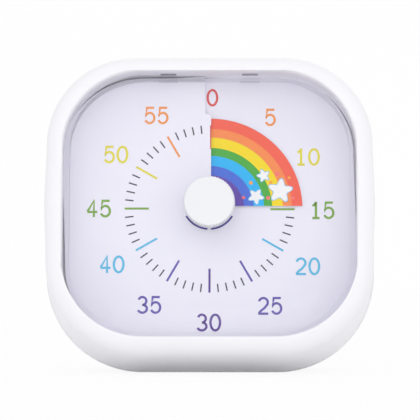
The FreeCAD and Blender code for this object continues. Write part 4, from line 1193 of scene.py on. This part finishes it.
FINISHED_NODES = {
    "case": ("rear_cover", "battery_door"),
    "steel": ("setting_shaft", "clutch_washer", "movement_screws", "board_screws")
    + ("case_screws", "stator", "crystal", "switch_body"),
    "acetal": ("disc_hub", "movement_plate", "centre_wheel", "reduction_wheel", "drive_wheel"),
    "magnet": ("rotor",),
    "black": ("movement_cover", "coil_bobbin", "timer_chip", "switch_lever", "buzzer"),
    "copper": ("coil_winding",),
    "board": ("circuit_board",),
    "cell": ("battery_cell",),
    "nickel": ("plus_contact", "minus_contact", "minus_spring"),
}


def node_materials():
    """The finishes by name."""
    return {
        "case": case_plastic(),
        "steel": material("zinc_steel", metal, (0.62, 0.62, 0.64)),
        "nickel": material("nickel_plate", metal, (0.72, 0.7, 0.64), roughness=0.18),
        "copper": material("copper_wire", metal, (0.75, 0.38, 0.2), roughness=0.3),
        "acetal": material("natural_acetal", moulded, srgb(228, 228, 222), roughness=0.45),
        "magnet": material("sintered_magnet", metal, (0.12, 0.12, 0.13), roughness=0.5),
        "black": material("black_plastic", moulded, srgb(38, 38, 42), roughness=0.4),
        "board": material("solder_resist", moulded, srgb(30, 96, 62), roughness=0.3),
        "cell": material("cell_wrap", moulded, srgb(74, 80, 92), roughness=0.25),
    }


class TIMER_OT_inner_parts(bpy.types.Operator):
    """Finishes of the parts that keep their own shape"""

    bl_idname = "timer.finish_parts"
    bl_label = "Finishes"

    def execute(self, context):
        finishes = node_materials()
        for finish, nodes in FINISHED_NODES.items():
            for node in nodes:
                mesh = frame["nodes"][node].data
                mesh.materials.clear()
                mesh.materials.append(finishes[finish])
        return {"FINISHED"}


# Stage, in metres

WHITE = (1.0, 1.0, 1.0, 1.0)
# Share of plain white in the floor as seen, and the sky's light
WHITE_SHARE = 0.9
SKY_LIGHT = 0.86
# Square lamps: name, place, side, power in watts
LAMPS = [
    ("key", (-0.4, -1.1, 0.8), 0.9, 1.0),
    ("fill", (0.6, -1.1, 0.4), 0.9, 0.9),
    ("low", (0.0, -1.1, 0.06), 0.5, 1.5),
    ("rear", (0.2, 1.2, 0.7), 0.9, 1.2),
]
LAMP_AIM = Vector((0.0, 0.0, 0.04))
# Side of the square image, and the dial's centre on it, in pixels
IMAGE_SIDE = 420
DIAL_PIXEL = (209.7, 209.1)


class TIMER_OT_stage(bpy.types.Operator):
    """Pale floor and backdrop, soft light and the camera"""

    bl_idname = "timer.build_stage"
    bl_label = "Stage"

    def execute(self, context):
        looks = context.scene.timer_stage
        self.floor(context)
        self.lights(context)
        self.camera(context, looks)
        context.scene.view_settings.view_transform = "Standard"
        return {"FINISHED"}

    def floor(self, context):
        surface = Surface("stage_paper")
        surface.constant(Base_Color=(0.96, 0.96, 0.96, 1.0), Roughness=0.9, Specular_IOR_Level=0.0)
        white = surface.node("ShaderNodeEmission", None, {"Color": WHITE, "Strength": 1.0})
        share = surface.seen_directly() * WHITE_SHARE
        surface.show(surface.blend(share, surface.shader.outputs[0], white.outputs[0]))
        mesh = bpy.data.meshes.new("stage_floor")
        wide, near, far, tall, bend = 3.0, -3.0, 1.6, 2.6, 0.6
        profile = [(near, 0.0), (far - bend, 0.0)]
        for sine, rest in quarter(12)[1:]:
            profile.append((far - bend + bend * sine, bend * rest))
        profile.append((far, tall))
        points = [(side, y, z) for y, z in profile for side in (-wide, wide)]
        faces = [(2 * n, 2 * n + 1, 2 * n + 3, 2 * n + 2) for n in range(len(profile) - 1)]
        mesh.from_pydata(points, [], faces)
        mesh.materials.append(surface.material)
        for polygon in mesh.polygons:
            polygon.use_smooth = True
        floor = bpy.data.objects.new("stage_floor", mesh)
        context.scene.collection.objects.link(floor)

    def lights(self, context):
        world = bpy.data.worlds.new("studio")
        context.scene.world = world
        sky = Surface("studio", world)
        seen = sky.seen_directly()
        soft = sky.node("ShaderNodeBackground", None, {"Color": WHITE, "Strength": SKY_LIGHT})
        white = sky.node("ShaderNodeBackground", None, {"Color": WHITE, "Strength": 1.0})
        sky.show(sky.blend(seen, soft.outputs[0], white.outputs[0]))
        for name, place, side, power in LAMPS:
            light = bpy.data.lights.new(name, "AREA")
            light.shape = "SQUARE"
            light.size = side
            light.energy = power
            lamp = bpy.data.objects.new(name, light)
            context.scene.collection.objects.link(lamp)
            lamp.location = place
            aim = LAMP_AIM - Vector(place)
            lamp.rotation_euler = aim.to_track_quat("-Z", "Y").to_euler()

    def camera(self, context, looks):
        scale = looks.pixels_per_millimetre
        data = bpy.data.cameras.new("photo_camera")
        data.sensor_width = 36.0
        distance = looks.distance
        data.lens = scale * distance / MILLIMETRE / IMAGE_SIDE * data.sensor_width
        data.clip_end = 20.0
        camera = bpy.data.objects.new("photo_camera", data)
        context.scene.collection.objects.link(camera)
        aside = (IMAGE_SIDE / 2 - DIAL_PIXEL[0]) / scale * MILLIMETRE
        above = -(IMAGE_SIDE / 2 - DIAL_PIXEL[1]) / scale * MILLIMETRE
        turn = looks.side_angle
        look = Vector((-math.sin(turn), math.cos(turn), 0.0))
        right = Vector((math.cos(turn), math.sin(turn), 0.0))
        aim = CENTRE + right * aside + Vector((0.0, 0.0, above))
        camera.location = aim - look * distance
        camera.rotation_euler = look.to_track_quat("-Z", "Y").to_euler()
        context.scene.camera = camera


class TIMER_PT_panel(bpy.types.Panel):
    """Buttons that dress the timer"""

    bl_label = "Visual timer"
    bl_idname = "TIMER_PT_panel"
    bl_space_type = "VIEW_3D"
    bl_region_type = "UI"
    bl_category = "Timer"

    def draw(self, context):
        for operator in OPERATORS:
            self.layout.operator(operator.bl_idname)


OPERATORS = (
    TIMER_OT_case,
    TIMER_OT_lens,
    TIMER_OT_dial,
    TIMER_OT_printing,
    TIMER_OT_disc,
    TIMER_OT_motif,
    TIMER_OT_knob,
    TIMER_OT_inner_parts,
    TIMER_OT_stage,
)
GROUPS = (("timer_case", CaseLooks), ("timer_dial", DialLooks), ("timer_stage", StageLooks))
CLASSES = tuple(group for _, group in GROUPS) + OPERATORS + (TIMER_PT_panel,)


def register():
    for made in CLASSES:
        bpy.utils.register_class(made)
    for name, group in GROUPS:
        setattr(bpy.types.Scene, name, bpy.props.PointerProperty(type=group))


def unregister():
    for name, _ in GROUPS:
        delattr(bpy.types.Scene, name)
    for made in reversed(CLASSES):
        bpy.utils.unregister_class(made)


def main():
    register()
    for operator in OPERATORS:
        family, action = operator.bl_idname.split(".")
        getattr(getattr(bpy.ops, family), action)()


if __name__ == "__main__":
    main()
